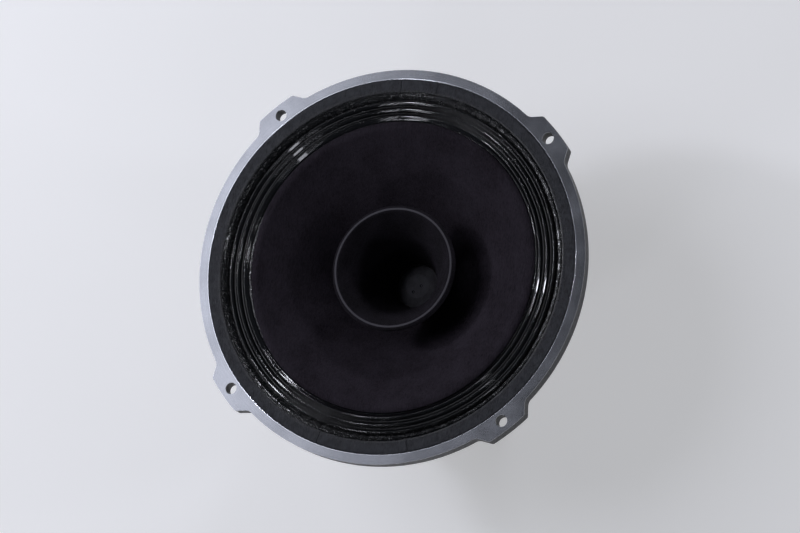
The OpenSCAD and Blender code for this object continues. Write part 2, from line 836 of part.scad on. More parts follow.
module terminal_rivets() {
    color("#c8cacc")
        board_fixings()
            rivet(board_y - lug_t, board_out_y, board_rivet_r, board_rivet_head_d / 2,
                board_rivet_head_t);
}

// A tag lies on the board and its blade bends out, away from the axis
module solder_tag(side) {
    x = side * tag_x;
    low_z = board_z - board_h / 2 + tag_inset;
    high_z = board_z + board_h / 2 - blade_inset;
    color("#d6c9a2")
        difference() {
            union() {
                translate([x - tag_w / 2, -board_out_y - tag_t, low_z])
                    cube([tag_w, tag_t, high_z - low_z]);
                translate([x - tag_w / 2, -board_out_y - tag_reach, high_z - tag_t])
                    cube([tag_w, tag_reach, tag_t]);
            }
            along_board(x, board_z)
                cylinder(h = 2 * board_y, r = tag_rivet_r + glue);
            translate([x, -board_out_y - tag_reach + blade_hole_inset, high_z - tag_t - cut])
                cylinder(h = tag_t + 2 * cut, d = blade_hole_d);
        }
}

module positive_tag() {
    solder_tag(1);
}

module negative_tag() {
    solder_tag(-1);
}

module tag_rivets() {
    color("#c9b27a")
        tag_places()
            rivet(board_y, board_out_y + tag_t, tag_rivet_r, tag_rivet_head_d / 2,
                tag_rivet_head_t);
}

// Frame of a solder joint on the back of the cone: origin on the paper, Z along its normal
joint_t = cone_t_at(joint_circle_r - paper_t);
joint_dir = cone_normal(joint_t);
joint_foot = cone_back_point(joint_t);
function around_z(p, a) = [p[0] * sin(a), -p[0] * cos(a), p[1]];
function joint_at(h) = around_z(joint_foot + h * joint_dir, joint_angle);

module lead_joints() {
    color("#b8babd")
        for (s = [-1, 1])
            rotate([0, 0, -90 + s * joint_angle])
                translate([joint_foot[0], 0, joint_foot[1]])
                    rotate([0, 90 + atan(-joint_dir[1] / joint_dir[0]), 0])
                        translate([0, 0, bond])
                            cylinder(h = joint_h - bond, d = joint_d);
}

module braided_lead(side) {
    start = [tag_x, -board_y + tag_rivet_head_t, board_z];
    route = concat([start], lead_middle,
        [joint_at(joint_h + lead_straight), joint_at(joint_h)]);
    color("#b9772e")
        tube([for (p = route) [side * p[0], p[1], p[2]]], lead_d / 2, 8);
}

module positive_lead() {
    braided_lead(1);
}

module negative_lead() {
    braided_lead(-1);
}

// The coil's own wire, from the neck of the cone along its back to the solder joint
module coil_tails() {
    t_end = cone_t_at(joint_circle_r - paper_t - joint_d / 2 - bond);
    t_start = cone_t_at(neck_r + 2 * tail_d);
    steps = 8;
    lift = tail_d / 2 + bond;
    climb = [for (i = [0:steps]) let (t = t_start + (t_end - t_start) * i / steps)
        cone_back_point(t) + lift * cone_normal(t)];
    neck = [neck_r + paper_t + lift, cone_collar_z + tail_d / 2];
    color("#a4552a")
        for (s = [-1, 1])
            tube([for (p = concat([neck], climb)) let (q = around_z(p, joint_angle))
                [s * q[0], q[1], q[2]]], tail_d / 2, 8);
}

basket();
front_gasket();
surround();
main_cone();
whizzer_cone();
dust_cap();
voice_coil_former();
voice_coil_winding();
spider();
spider_ring();
top_plate();
magnet_ring();
back_plate();
pole_piece();
vent_mesh();
motor_screws();
motor_washers();
terminal_board();
terminal_rivets();
positive_tag();
negative_tag();
tag_rivets();
positive_lead();
negative_lead();
lead_joints();
coil_tails();
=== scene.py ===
import math

import bmesh
import bpy
from mathutils import Matrix, Vector, noise
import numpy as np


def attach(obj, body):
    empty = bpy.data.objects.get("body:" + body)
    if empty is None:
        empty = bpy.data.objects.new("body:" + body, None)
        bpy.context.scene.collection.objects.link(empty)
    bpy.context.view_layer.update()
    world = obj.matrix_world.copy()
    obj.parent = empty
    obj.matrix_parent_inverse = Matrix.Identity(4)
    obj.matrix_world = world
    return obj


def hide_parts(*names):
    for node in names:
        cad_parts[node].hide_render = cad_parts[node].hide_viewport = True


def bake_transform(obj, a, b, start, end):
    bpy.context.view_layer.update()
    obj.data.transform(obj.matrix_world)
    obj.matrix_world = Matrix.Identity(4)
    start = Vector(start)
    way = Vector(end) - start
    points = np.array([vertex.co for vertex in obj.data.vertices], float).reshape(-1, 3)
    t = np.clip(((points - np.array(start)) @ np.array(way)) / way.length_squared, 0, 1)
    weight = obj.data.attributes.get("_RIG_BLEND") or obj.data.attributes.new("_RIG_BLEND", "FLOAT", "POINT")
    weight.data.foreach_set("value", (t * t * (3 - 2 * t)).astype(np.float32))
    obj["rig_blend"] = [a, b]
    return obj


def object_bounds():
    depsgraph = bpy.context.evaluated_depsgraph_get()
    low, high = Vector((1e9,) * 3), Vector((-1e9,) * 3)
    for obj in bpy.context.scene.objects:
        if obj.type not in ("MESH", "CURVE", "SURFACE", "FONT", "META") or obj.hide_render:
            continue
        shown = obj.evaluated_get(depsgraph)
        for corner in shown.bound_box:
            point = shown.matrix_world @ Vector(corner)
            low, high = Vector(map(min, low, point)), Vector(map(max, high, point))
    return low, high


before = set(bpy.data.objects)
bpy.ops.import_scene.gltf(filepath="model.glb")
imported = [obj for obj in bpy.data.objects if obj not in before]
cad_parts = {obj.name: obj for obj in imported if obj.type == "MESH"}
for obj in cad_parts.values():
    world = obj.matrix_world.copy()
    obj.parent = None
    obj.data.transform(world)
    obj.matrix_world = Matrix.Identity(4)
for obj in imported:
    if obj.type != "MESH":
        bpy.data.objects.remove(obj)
cadLow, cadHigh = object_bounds()
scene = bpy.context.scene
mm = 0.001
fullTurn = 2 * math.pi

# The driver lies on its magnet with the cone facing up, and the camera looks down on it
cameraView = {
    "place": (0.50417, -0.28269, 1.36305),
    "right": (0.93669, 0.16778, -0.30735),
    "up": (-0.09605, 0.96718, 0.23524),
    "back": (0.33673, -0.19083, 0.92206),
    "lens": {"lens": 131.94, "sensor_width": 36.0, "clip_start": 0.05, "clip_end": 20.0},
}


def addObject(name, data):
    made = bpy.data.objects.new(name, data)
    scene.collection.objects.link(made)
    return made


camera = addObject("studioCamera", bpy.data.cameras.new("studioCamera"))
cameraTurn = Matrix([cameraView[side] for side in ("right", "up", "back")]).transposed()
camera.matrix_world = Matrix.Translation(cameraView["place"]) @ cameraTurn.to_4x4()
for label, value in cameraView["lens"].items():
    setattr(camera.data, label, value)
scene.camera = camera
print("camera ready")


# Shader helpers

def srgb(red, green, blue):
    steps = [value / 255 for value in (red, green, blue)]
    return tuple(v / 12.92 if v < 0.04 else ((v + 0.055) / 1.055) ** 2.4 for v in steps) + (1.0,)


def fillSockets(tree, made, sockets):
    for name, value in sockets.items():
        if isinstance(value, bpy.types.NodeSocket):
            tree.links.new(value, made.inputs[name])
        else:
            made.inputs[name].default_value = value
    return made


def addNode(tree, kind, sockets=None, **options):
    made = tree.nodes.new("ShaderNode" + kind)
    for name, value in options.items():
        setattr(made, name, value)
    return fillSockets(tree, made, sockets or {})


def calc(tree, operation, a, b=0.0):
    return addNode(tree, "Math", {0: a, 1: b}, operation=operation).outputs[0]


def product(tree, a, b):
    return calc(tree, "MULTIPLY", a, b)


def remap(tree, value, low, high, toLow=0.0, toHigh=1.0):
    sockets = {"Value": value, "From Min": low, "From Max": high, "To Min": toLow, "To Max": toHigh}
    return addNode(tree, "MapRange", sockets, interpolation_type="SMOOTHSTEP").outputs[0]


def blendColours(tree, factor, a, b):
    return addNode(tree, "Mix", {0: factor, 6: a, 7: b}, data_type="RGBA").outputs[2]


def blendValues(tree, factor, a, b):
    return addNode(tree, "Mix", {0: factor, 2: a, 3: b}, data_type="FLOAT").outputs[0]


def objectSpace(tree):
    return addNode(tree, "TexCoord").outputs["Object"]


def heightIn(tree, vector):
    return addNode(tree, "SeparateXYZ", {0: vector}).outputs["Z"]


def axisDistance(tree, vector):
    split = addNode(tree, "SeparateXYZ", {0: vector})
    squares = [calc(tree, "POWER", split.outputs[side], 2.0) for side in ("X", "Y")]
    return calc(tree, "SQRT", calc(tree, "ADD", *squares))


def fromCircle(tree, vector, circle):
    return calc(tree, "ABSOLUTE", calc(tree, "SUBTRACT", axisDistance(tree, vector), circle))


def noiseAt(tree, vector, scale, detail=3.0, roughness=0.55):
    sockets = {"Vector": vector, "Scale": scale, "Detail": detail, "Roughness": roughness}
    return addNode(tree, "TexNoise", sockets).outputs["Fac"]


# Sockets not listed here are plain numbers
socketKinds = {"Vector": "Vector", "Dark": "Color", "Light": "Color", "Color": "Color"}


def newGroup(name, inputs, outputs):
    group = bpy.data.node_groups.new(name, "ShaderNodeTree")
    for way, labels in (("INPUT", inputs), ("OUTPUT", outputs)):
        for label in labels.split():
            kind = "NodeSocket" + socketKinds.get(label, "Float")
            group.interface.new_socket(name=label, in_out=way, socket_type=kind)
    entry = group.nodes.new("NodeGroupInput").outputs
    leave = group.nodes.new("NodeGroupOutput").inputs
    return group, entry, leave


def placeGroup(tree, name, sockets):
    made = tree.nodes.new("ShaderNodeGroup")
    made.node_tree = bpy.data.node_groups[name]
    return fillSockets(tree, made, sockets).outputs


looks = {}


def newMaterial(name, **settings):
    looks[name] = bpy.data.materials.new(name)
    looks[name].use_nodes = True
    tree = looks[name].node_tree
    shader = tree.nodes["Principled BSDF"]
    for label, value in settings.items():
        shader.inputs[label.replace("_", " ")].default_value = value
    return tree, shader, objectSpace(tree)


def dress(tree, shader, colour, rough, height, relief):
    bump = addNode(tree, "Bump", {"Height": height, "Distance": relief, "Strength": 1.0})
    sockets = {"Base Color": colour, "Roughness": rough, "Normal": bump.outputs[0]}
    fillSockets(tree, shader, sockets)


# Fibres lie in three directions, as in pressed paper and felt
fibreTurns = (12, 71, 133)
fibreStretch = (1, 0.16, 0.7)
group, entry, leave = newGroup("fibres", "Vector Scale", "Height Strands")
tallest = None
for turn in fibreTurns:
    laid = addNode(group, "Mapping", {
        "Vector": entry["Vector"],
        "Rotation": (0.4, 0.3, math.radians(turn)),
        "Scale": fibreStretch,
    })
    swirl = noiseAt(group, laid.outputs[0], entry["Scale"], 2.0, 0.6)
    offCrest = calc(group, "ABSOLUTE", remap(group, swirl, 0.3, 0.7, -1, 1))
    ridge = calc(group, "SUBTRACT", 1.0, offCrest)
    tallest = ridge if tallest is None else calc(group, "MAXIMUM", tallest, ridge)
group.links.new(tallest, leave["Height"])
group.links.new(calc(group, "POWER", tallest, 6.0), leave["Strands"])

# Plain weave: threads cross over and under each other
group, entry, leave = newGroup("weave", "Vector Pitch", "Height Gap")
split = addNode(group, "SeparateXYZ", {0: entry["Vector"]})
threads = [calc(group, "DIVIDE", split.outputs[side], entry["Pitch"]) for side in ("X", "Y")]
humps = []
for thread in threads:
    across = product(group, calc(group, "FRACT", thread), math.pi)
    humps.append(calc(group, "SINE", across))
cells = calc(group, "ADD", *[calc(group, "FLOOR", thread) for thread in threads])
over = calc(group, "GREATER_THAN", calc(group, "PINGPONG", cells, 1.0), 0.5)
group.links.new(blendValues(group, over, humps[0], humps[1]), leave["Height"])
group.links.new(calc(group, "SUBTRACT", 1.0, product(group, *humps)), leave["Gap"])

# Fine rings left by a lathe
group, entry, leave = newGroup("turning", "Vector Pitch", "Height Streaks")
reach = calc(group, "DIVIDE", axisDistance(group, entry["Vector"]), entry["Pitch"])
fine = addNode(group, "TexNoise", {"W": reach, "Scale": 1.0, "Detail": 2.0}, noise_dimensions="1D")
group.links.new(fine.outputs["Fac"], leave["Height"])
wide = addNode(group, "TexNoise", {"W": reach, "Scale": 0.13, "Detail": 3.0}, noise_dimensions="1D")
group.links.new(remap(group, wide.outputs["Fac"], 0.35, 0.65), leave["Streaks"])

# Wear shows where an edge is sharp, broken up by noise
group, entry, leave = newGroup("edgeWear", "Vector Radius Scale", "Mask")
rounded = addNode(group, "Bevel", {"Radius": entry["Radius"]}, samples=4).outputs[0]
flat = addNode(group, "NewGeometry").outputs["Normal"]
facing = addNode(group, "VectorMath", {0: rounded, 1: flat}, operation="DOT_PRODUCT")
sharp = remap(group, facing.outputs["Value"], 0.995, 0.93)
patches = remap(group, noiseAt(group, entry["Vector"], entry["Scale"], 4.0), 0.42, 0.62)
group.links.new(product(group, sharp, patches), leave["Mask"])

# Broad, soft changes of tone
group, entry, leave = newGroup("mottle", "Vector Scale Dark Light", "Color")
clouds = remap(group, noiseAt(group, entry["Vector"], entry["Scale"], 5.0, 0.6), 0.34, 0.66)
group.links.new(blendColours(group, clouds, entry["Dark"], entry["Light"]), leave["Color"])
print("node groups ready")


def mottled(tree, place, scale, dark, light):
    sockets = {"Vector": place, "Scale": scale, "Dark": dark, "Light": light}
    return placeGroup(tree, "mottle", sockets)["Color"]


def wornEdges(tree, place, reach, scale):
    sockets = {"Vector": place, "Radius": reach, "Scale": scale}
    return placeGroup(tree, "edgeWear", sockets)["Mask"]


# Materials. Noise scales are per metre, and pairs are the two ends of a range.

castLook = {
    "paint": srgb(25, 25, 28), "paintLight": srgb(36, 36, 40), "paintPatch": 60.0,
    "paintRough": (0.42, 0.6), "grain": 700.0, "sand": 1500.0,
    "bareDepth": 0.5 * mm, "wear": 0.55, "wearReach": 0.5 * mm, "wearPatch": 900.0,
    "metal": srgb(156, 158, 163), "metalDark": srgb(144, 146, 151), "metalRough": (0.21, 0.27),
    "ringPitch": 0.09 * mm, "streaks": 0.3, "handled": 38.0, "smudge": 45.0, "groove": 0.015,
    # The near-white lip tone is a painted highlight: a bright line painted along the edge of the gasket's
    # recess
    "lip": srgb(232, 234, 240), "paintedGlintRadius": 97.55 * mm, "paintedGlintEdge": (0.4 * mm, 0.22 * mm),
    "relief": 0.09 * mm,
}


def castFrameMaterial():
    look = castLook
    tree, shader, place = newMaterial("paintedCasting")
    bare = calc(tree, "GREATER_THAN", heightIn(tree, place), -look["bareDepth"])
    wear = wornEdges(tree, place, look["wearReach"], look["wearPatch"])
    metal = calc(tree, "MAXIMUM", bare, product(tree, wear, look["wear"]))
    paint = mottled(tree, place, look["paintPatch"], look["paint"], look["paintLight"])
    turning = placeGroup(tree, "turning", {"Vector": place, "Pitch": look["ringPitch"]})
    handled = remap(tree, noiseAt(tree, place, look["handled"], 5.0), 0.38, 0.6)
    streaks = product(tree, turning["Streaks"], look["streaks"])
    tones = calc(tree, "ADD", streaks, product(tree, handled, 1 - look["streaks"]))
    face = blendColours(tree, tones, look["metalDark"], look["metal"])
    # Painted highlight: a near-white line painted along the recess edge
    lip = remap(tree, fromCircle(tree, place, look["paintedGlintRadius"]), *look["paintedGlintEdge"])
    face = blendColours(tree, lip, face, look["lip"])
    fillSockets(tree, shader, {"Metallic": metal})
    smudges = remap(tree, noiseAt(tree, place, look["smudge"], 4.0), 0.3, 0.7, *look["metalRough"])
    grain = remap(tree, noiseAt(tree, place, look["grain"]), 0.3, 0.7, *look["paintRough"])
    sand = noiseAt(tree, place, look["sand"], 4.0, 0.6)
    groove = product(tree, turning["Height"], look["groove"])
    dress(tree, shader, blendColours(tree, metal, paint, face),
          blendValues(tree, metal, grain, smudges), blendValues(tree, metal, sand, groove),
          look["relief"])


feltLook = {
    "dark": srgb(28, 29, 32), "light": srgb(50, 51, 55), "patch": 260.0,
    "fuzz": srgb(84, 85, 91), "fuzzShare": 0.5, "fibre": 1400.0, "relief": 0.16 * mm,
    "soaked": srgb(13, 13, 15), "soakedEdge": (91.6 * mm, 91.0 * mm), "ragged": 12 * mm,
    "crumbs": 1100.0, "crumbRelief": 1.5, "gloss": 0.9, "rough": 0.55,
}


def feltMaterial():
    look = feltLook
    tree, shader, place = newMaterial("gasketFelt", Specular_IOR_Level=0.26, Coat_Roughness=0.25)
    fibres = placeGroup(tree, "fibres", {"Vector": place, "Scale": look["fibre"]})
    tone = mottled(tree, place, look["patch"], look["dark"], look["light"])
    strands = product(tree, fibres["Strands"], look["fuzzShare"])
    fuzz = blendColours(tree, strands, tone, look["fuzz"])
    crumbs = noiseAt(tree, place, look["crumbs"], 5.0, 0.7)
    ragged = product(tree, calc(tree, "SUBTRACT", crumbs, 0.5), look["ragged"])
    fromAxis = calc(tree, "ADD", axisDistance(tree, place), ragged)
    soaked = remap(tree, fromAxis, *look["soakedEdge"])
    fillSockets(tree, shader, {"Coat Weight": product(tree, soaked, look["gloss"])})
    lumps = product(tree, product(tree, soaked, crumbs), look["crumbRelief"])
    dress(tree, shader, blendColours(tree, soaked, fuzz, look["soaked"]), look["rough"],
          calc(tree, "ADD", fibres["Height"], lumps), look["relief"])


dopedLook = {
    "thread": srgb(11, 11, 13), "gap": srgb(4, 4, 5), "weaveTurn": 24,
    "weavePitch": 0.5 * mm, "blots": 420.0, "rough": (0.05, 0.1), "weaveShare": 0.7,
    "relief": 0.03 * mm,
}


def dopedClothMaterial():
    look = dopedLook
    tree, shader, place = newMaterial(
        "dopedCloth", Specular_IOR_Level=0.7, Coat_Weight=0.85, Coat_Roughness=0.04)
    turned = {"Vector": place, "Rotation": (0, 0, math.radians(look["weaveTurn"]))}
    laid = addNode(tree, "Mapping", turned).outputs[0]
    weave = placeGroup(tree, "weave", {"Vector": laid, "Pitch": look["weavePitch"]})
    tone = blendColours(tree, weave["Gap"], look["thread"], look["gap"])
    blots = noiseAt(tree, place, look["blots"], 4.0)
    rough = remap(tree, blots, 0.35, 0.65, *look["rough"])
    threads = product(tree, weave["Height"], look["weaveShare"])
    lumps = calc(tree, "ADD", threads, product(tree, blots, 1 - look["weaveShare"]))
    dress(tree, shader, tone, rough, lumps, look["relief"])


dopeLook = {
    "wet": srgb(5, 5, 6), "dry": srgb(24, 25, 28), "crumbs": 1100.0,
    "blots": 420.0, "blotShare": 0.4, "rough": (0.13, 0.3), "relief": 0.3 * mm,
}


def dopeMaterial():
    look = dopeLook
    tree, shader, place = newMaterial(
        "glossyDope", Specular_IOR_Level=0.6, Coat_Weight=0.5, Coat_Roughness=0.08)
    crumbs = noiseAt(tree, place, look["crumbs"], 5.0, 0.75)
    blots = noiseAt(tree, place, look["blots"], 4.0)
    tone = blendColours(tree, remap(tree, crumbs, 0.55, 0.7), look["wet"], look["dry"])
    rough = remap(tree, blots, 0.35, 0.65, *look["rough"])
    lumps = calc(tree, "ADD", crumbs, product(tree, blots, look["blotShare"]))
    dress(tree, shader, tone, rough, lumps, look["relief"])


# The dust cap's two pinholes, in millimetres from the axis
pinholes = ((2.3, 0.2), (-1.5, -3.4))

paperLooks = {
    "conePaper": {
        "dark": srgb(36, 32, 37), "light": srgb(46, 42, 48), "strand": srgb(80, 73, 83),
        "patch": 55.0, "fibre": 1100.0, "relief": 0.12 * mm, "strands": 0.3,
    },
    "whizzerPaper": {
        "dark": srgb(26, 24, 27), "light": srgb(35, 32, 37), "strand": srgb(73, 70, 76),
        "patch": 80.0, "fibre": 1300.0, "relief": 0.09 * mm, "strands": 0.22,
        # Lighter tone on top of the rolled rim: a painted highlight
        "paintedCrestHighlight": srgb(88, 86, 91), "crest": 30.75 * mm, "crestEdge": (0.66 * mm, 0.3 * mm),
        "crestHeight": (-8.0 * mm, -7.4 * mm),
    },
    "domePaper": {
        "dark": srgb(92, 91, 95), "light": srgb(110, 109, 113), "strand": srgb(144, 143, 149),
        "patch": 160.0, "fibre": 1500.0, "relief": 0.07 * mm, "strands": 0.25,
        "discEdge": (6.7 * mm, 6.1 * mm), "discShare": 0.22,
        # The dark pinhole tone is painted shade around each pinhole
        "pinholeShadeEdge": (0.8 * mm, 0.55 * mm), "pinhole": srgb(3, 3, 4),
    },
}


# The top of the whizzer's rolled rim is painted lighter, as a painted highlight
def paintCrestHighlight(tree, place, colour, look):
    onCrest = remap(tree, fromCircle(tree, place, look["crest"]), *look["crestEdge"])
    raised = remap(tree, heightIn(tree, place), *look["crestHeight"])
    paintedCrestHighlight = product(tree, onCrest, raised)
    return blendColours(tree, paintedCrestHighlight, colour, look["paintedCrestHighlight"])


# The middle disc of the dome is painted lighter, and a dark ring of painted shade is painted around each
# pinhole
def domeDiscAndPinholeShade(tree, place, colour, look):
    disc = remap(tree, axisDistance(tree, place), *look["discEdge"])
    pale = blendColours(tree, look["discShare"], colour, look["strand"])
    colour = blendColours(tree, disc, colour, pale)
    level = addNode(tree, "VectorMath", {0: place, 1: (1, 1, 0)}, operation="MULTIPLY").outputs[0]
    for x, y in pinholes:
        sockets = {0: level, 1: (x * mm, y * mm, 0)}
        apart = addNode(tree, "VectorMath", sockets, operation="DISTANCE").outputs["Value"]
        holeShade = remap(tree, apart, *look["pinholeShadeEdge"])
        colour = blendColours(tree, holeShade, colour, look["pinhole"])
    return colour


def paperMaterial(name):
    look = paperLooks[name]
    tree, shader, place = newMaterial(name, Specular_IOR_Level=0.04)
    fibres = placeGroup(tree, "fibres", {"Vector": place, "Scale": look["fibre"]})
    tone = mottled(tree, place, look["patch"], look["dark"], look["light"])
    strands = product(tree, fibres["Strands"], look["strands"])
    colour = blendColours(tree, strands, tone, look["strand"])
    if name == "whizzerPaper":
        colour = paintCrestHighlight(tree, place, colour, look)
    if name == "domePaper":
        colour = domeDiscAndPinholeShade(tree, place, colour, look)
    rough = remap(tree, fibres["Height"], 0.2, 1.0, 0.95, 0.72)
    pulp = calc(tree, "ADD", fibres["Height"], noiseAt(tree, place, 2600.0, 3.0))
    dress(tree, shader, colour, rough, pulp, look["relief"])


spiderLook = {
    "dark": srgb(146, 104, 46), "light": srgb(186, 150, 84),
    "gap": srgb(96, 66, 30), "patch": 90.0, "weavePitch": 0.42 * mm, "rough": (0.8, 0.55),
    "relief": 0.16 * mm,
}


def spiderClothMaterial():
    look = spiderLook
    tree, shader, place = newMaterial("spiderCloth")
    weave = placeGroup(tree, "weave", {"Vector": place, "Pitch": look["weavePitch"]})
    resin = mottled(tree, place, look["patch"], look["dark"], look["light"])
    tone = blendColours(tree, weave["Gap"], resin, look["gap"])
    rough = remap(tree, weave["Height"], 0.0, 1.0, *look["rough"])
    dress(tree, shader, tone, rough, weave["Height"], look["relief"])


# Light and dark tone, ends of the roughness, scale of the patches, share of turned streaks
metalLooks = {
    "zincPlate": (srgb(196, 199, 202), srgb(168, 172, 178), (0.3, 0.48), 70.0, 0.35),
    "screwZinc": (srgb(208, 210, 212), srgb(170, 173, 178), (0.24, 0.4), 500.0, 0),
    "meshSteel": (srgb(176, 178, 180), srgb(140, 143, 147), (0.35, 0.5), 600.0, 0),
    "rivetAlloy": (srgb(214, 215, 216), srgb(180, 182, 186), (0.3, 0.45), 700.0, 0),
    "tinnedBrass": (srgb(214, 206, 180), srgb(176, 160, 118), (0.26, 0.45), 260.0, 0),
    "solderTin": (srgb(206, 208, 212), srgb(150, 153, 158), (0.18, 0.42), 700.0, 0),
    "copperBraid": (srgb(206, 140, 92), srgb(148, 84, 48), (0.28, 0.5), 500.0, 0),
    "enamelWire": (srgb(176, 88, 40), srgb(128, 54, 24), (0.18, 0.32), 260.0, 0),
}


def metalMaterial(name):
    light, dark, roughness, patch, turned = metalLooks[name]
    tree, shader, place = newMaterial(name, Metallic=1.0)
    colour = mottled(tree, place, patch, dark, light)
    grain = noiseAt(tree, place, 2400.0, 3.0)
    if turned:
        turning = placeGroup(tree, "turning", {"Vector": place, "Pitch": 0.12 * mm})
        streaks = product(tree, turning["Streaks"], turned)
        colour = blendColours(tree, streaks, colour, dark)
        grain = calc(tree, "ADD", grain, turning["Height"])
    worn = wornEdges(tree, place, 0.3 * mm, 1500.0)
    rough = remap(tree, noiseAt(tree, place, 330.0, 4.0), 0.3, 0.7, *roughness)
    dress(tree, shader, blendColours(tree, worn, colour, light), rough, grain, 0.015 * mm)


ferriteLook = {
    "dark": srgb(36, 36, 39), "light": srgb(56, 56, 60), "patch": 40.0,
    "worn": srgb(92, 92, 96), "wearReach": 0.8 * mm, "wearPatch": 260.0, "pores": 900.0,
    "rough": (0.38, 0.62), "relief": 0.08 * mm,
}


def ferriteMaterial():
    look = ferriteLook
    tree, shader, place = newMaterial("ferriteBlack")
    tone = mottled(tree, place, look["patch"], look["dark"], look["light"])
    worn = wornEdges(tree, place, look["wearReach"], look["wearPatch"])
    tone = blendColours(tree, worn, tone, look["worn"])
    pores = noiseAt(tree, place, look["pores"], 5.0, 0.65)
    rough = remap(tree, pores, 0.3, 0.7, *look["rough"])
    dress(tree, shader, tone, rough, pores, look["relief"])


# Dark, light and edge tone
boardLooks = {
    "fibreBoard": (srgb(70, 50, 34), srgb(96, 70, 48), srgb(120, 92, 64)),
    "phenolicBoard": (srgb(92, 54, 30), srgb(118, 72, 42), srgb(150, 102, 62)),
    "formerCard": (srgb(172, 132, 78), srgb(204, 166, 110), srgb(62, 52, 44)),
}
cementLook = {"colour": srgb(22, 21, 22), "height": (-56.3 * mm, -55.7 * mm)}


def boardMaterial(name):
    dark, light, edge = boardLooks[name]
    tree, shader, place = newMaterial(name)
    fibres = placeGroup(tree, "fibres", {"Vector": place, "Scale": 800.0})
    tone = mottled(tree, place, 120.0, dark, light)
    if name == "formerCard":
        frayed = product(tree, noiseAt(tree, place, 300.0), 1.5 * mm)
        frayed = calc(tree, "ADD", heightIn(tree, place), frayed)
        cement = remap(tree, frayed, *cementLook["height"])
        tone = blendColours(tree, cement, tone, cementLook["colour"])
    strands = product(tree, fibres["Strands"], 0.3)
    flecks = blendColours(tree, strands, tone, edge)
    worn = wornEdges(tree, place, 0.3 * mm, 900.0)
    flecks = blendColours(tree, worn, flecks, edge)
    rough = remap(tree, fibres["Height"], 0.0, 1.0, 0.62, 0.42)
    dress(tree, shader, flecks, rough, fibres["Height"], 0.05 * mm)


castFrameMaterial()
feltMaterial()
dopedClothMaterial()
dopeMaterial()
spiderClothMaterial()
ferriteMaterial()
for name in paperLooks:
    paperMaterial(name)
for name in metalLooks:
    metalMaterial(name)
for name in boardLooks:
    boardMaterial(name)
print("materials ready")


# Mesh helpers. Outlines are in millimetres, and the meshes made from them in metres.

softEdge = {"segments": 2, "fromAngle": 35}


def meshFrom(name, bm):
    mesh = bpy.data.meshes.new(name)
    bm.to_mesh(mesh)
    bm.free()
    return mesh


def evaluatedMesh(piece):
    bpy.context.view_layer.update()
    seen = piece.evaluated_get(bpy.context.evaluated_depsgraph_get())
    return bpy.data.meshes.new_from_object(seen)


def finishPiece(name, bm, look, node, body, sharpAngle=40, bevel=None):
    mesh = meshFrom(name, bm)
    mesh.materials.append(looks[look])
    mesh.shade_smooth()
    mesh.set_sharp_from_angle(angle=math.radians(sharpAngle))
    piece = addObject(name, mesh)
    if bevel:
        rim = piece.modifiers.new("softEdge", "BEVEL")
        rim.width = bevel * mm
        rim.segments = softEdge["segments"]
        rim.limit_method = "ANGLE"
        rim.angle_limit = math.radians(softEdge["fromAngle"])
        rim.harden_normals = True
    if body:
        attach(piece, body)
    if node:
        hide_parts(node)
    print("piece", name)
    return piece


def joinInto(target, source):
    step = meshFrom("step", source)
    target.from_mesh(step)
    bpy.data.meshes.remove(step)


def cutAway(piece, bm, overlapping=False):
    cutter = addObject("cutter", meshFrom("cutter", bm))
    cut = piece.modifiers.new("cut", "BOOLEAN")
    cut.object = cutter
    cut.solver = "EXACT"
    cut.use_self = overlapping
    made = evaluatedMesh(piece)
    piece.modifiers.clear()
    piece.data = made
    bpy.data.objects.remove(cutter)


def spinLine(points, steps, closed=True, start=0.0, turn=fullTurn):
    bm = bmesh.new()
    first = Matrix.Rotation(start, 3, "Z")
    verts = [bm.verts.new(first @ Vector((r, 0, z)) * mm) for r, z in points]
    pairs = list(zip(verts, verts[1:])) + ([(verts[-1], verts[0])] if closed else [])
    edges = [bm.edges.new(pair) for pair in pairs]
    whole = turn == fullTurn
    bmesh.ops.spin(bm, geom=verts + edges, cent=(0, 0, 0), axis=(0, 0, 1), angle=turn,
                   steps=steps, use_merge=whole, use_duplicate=False)
    bmesh.ops.remove_doubles(bm, verts=bm.verts, dist=1e-7)
    if not whole:
        ends = [edge for edge in bm.edges if edge.is_boundary]
        bmesh.ops.holes_fill(bm, edges=ends, sides=0)
    bmesh.ops.recalc_face_normals(bm, faces=bm.faces)
    return bm


def arc(centre, reach, low, high, steps):
    x, z = centre
    turns = [math.radians(low + (high - low) * step / steps) for step in range(steps + 1)]
    return [(x + reach * math.cos(a), z + reach * math.sin(a)) for a in turns]


# A box's outline with rounded corners; its top is divided into pieces where it gets lumps
def roundedBox(look, across=1):
    corner = look["corner"]
    left, right = look["inner"] + corner, look["outer"] - corner
    bottom, top = look["low"] + corner, look["high"] - corner
    points = arc((left, bottom), corner, 180, 270, 3) + arc((right, bottom), corner, 270, 360, 3)
    points += arc((right, top), corner, 0, 90, 3)
    points += [(right - (right - left) * k / across, look["high"]) for k in range(1, across)]
    return points + arc((left, top), corner, 90, 180, 3)


def radius(point):
    return math.hypot(point.x, point.y)


def ripple(spot, amount, scale, offset=(0, 0, 0)):
    return amount * noise.noise(spot * scale + Vector(offset))


def jitter(bm, amount, scale, where=None):
    for vert in bm.verts:
        if where is None or where(vert.co):
            vert.co.z += amount * mm * noise.noise(vert.co * scale / mm)


def cadCopy(node):
    bm = bmesh.new()
    bm.from_mesh(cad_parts[node].data)
    bmesh.ops.remove_doubles(bm, verts=bm.verts, dist=1e-6)
    bmesh.ops.dissolve_limit(bm, angle_limit=math.radians(0.4), verts=bm.verts, edges=bm.edges)
    return bm


def smoothStep(value, low, high):
    t = min(1.0, max(0.0, (value - low) / (high - low)))
    return t * t * (3 - 2 * t)


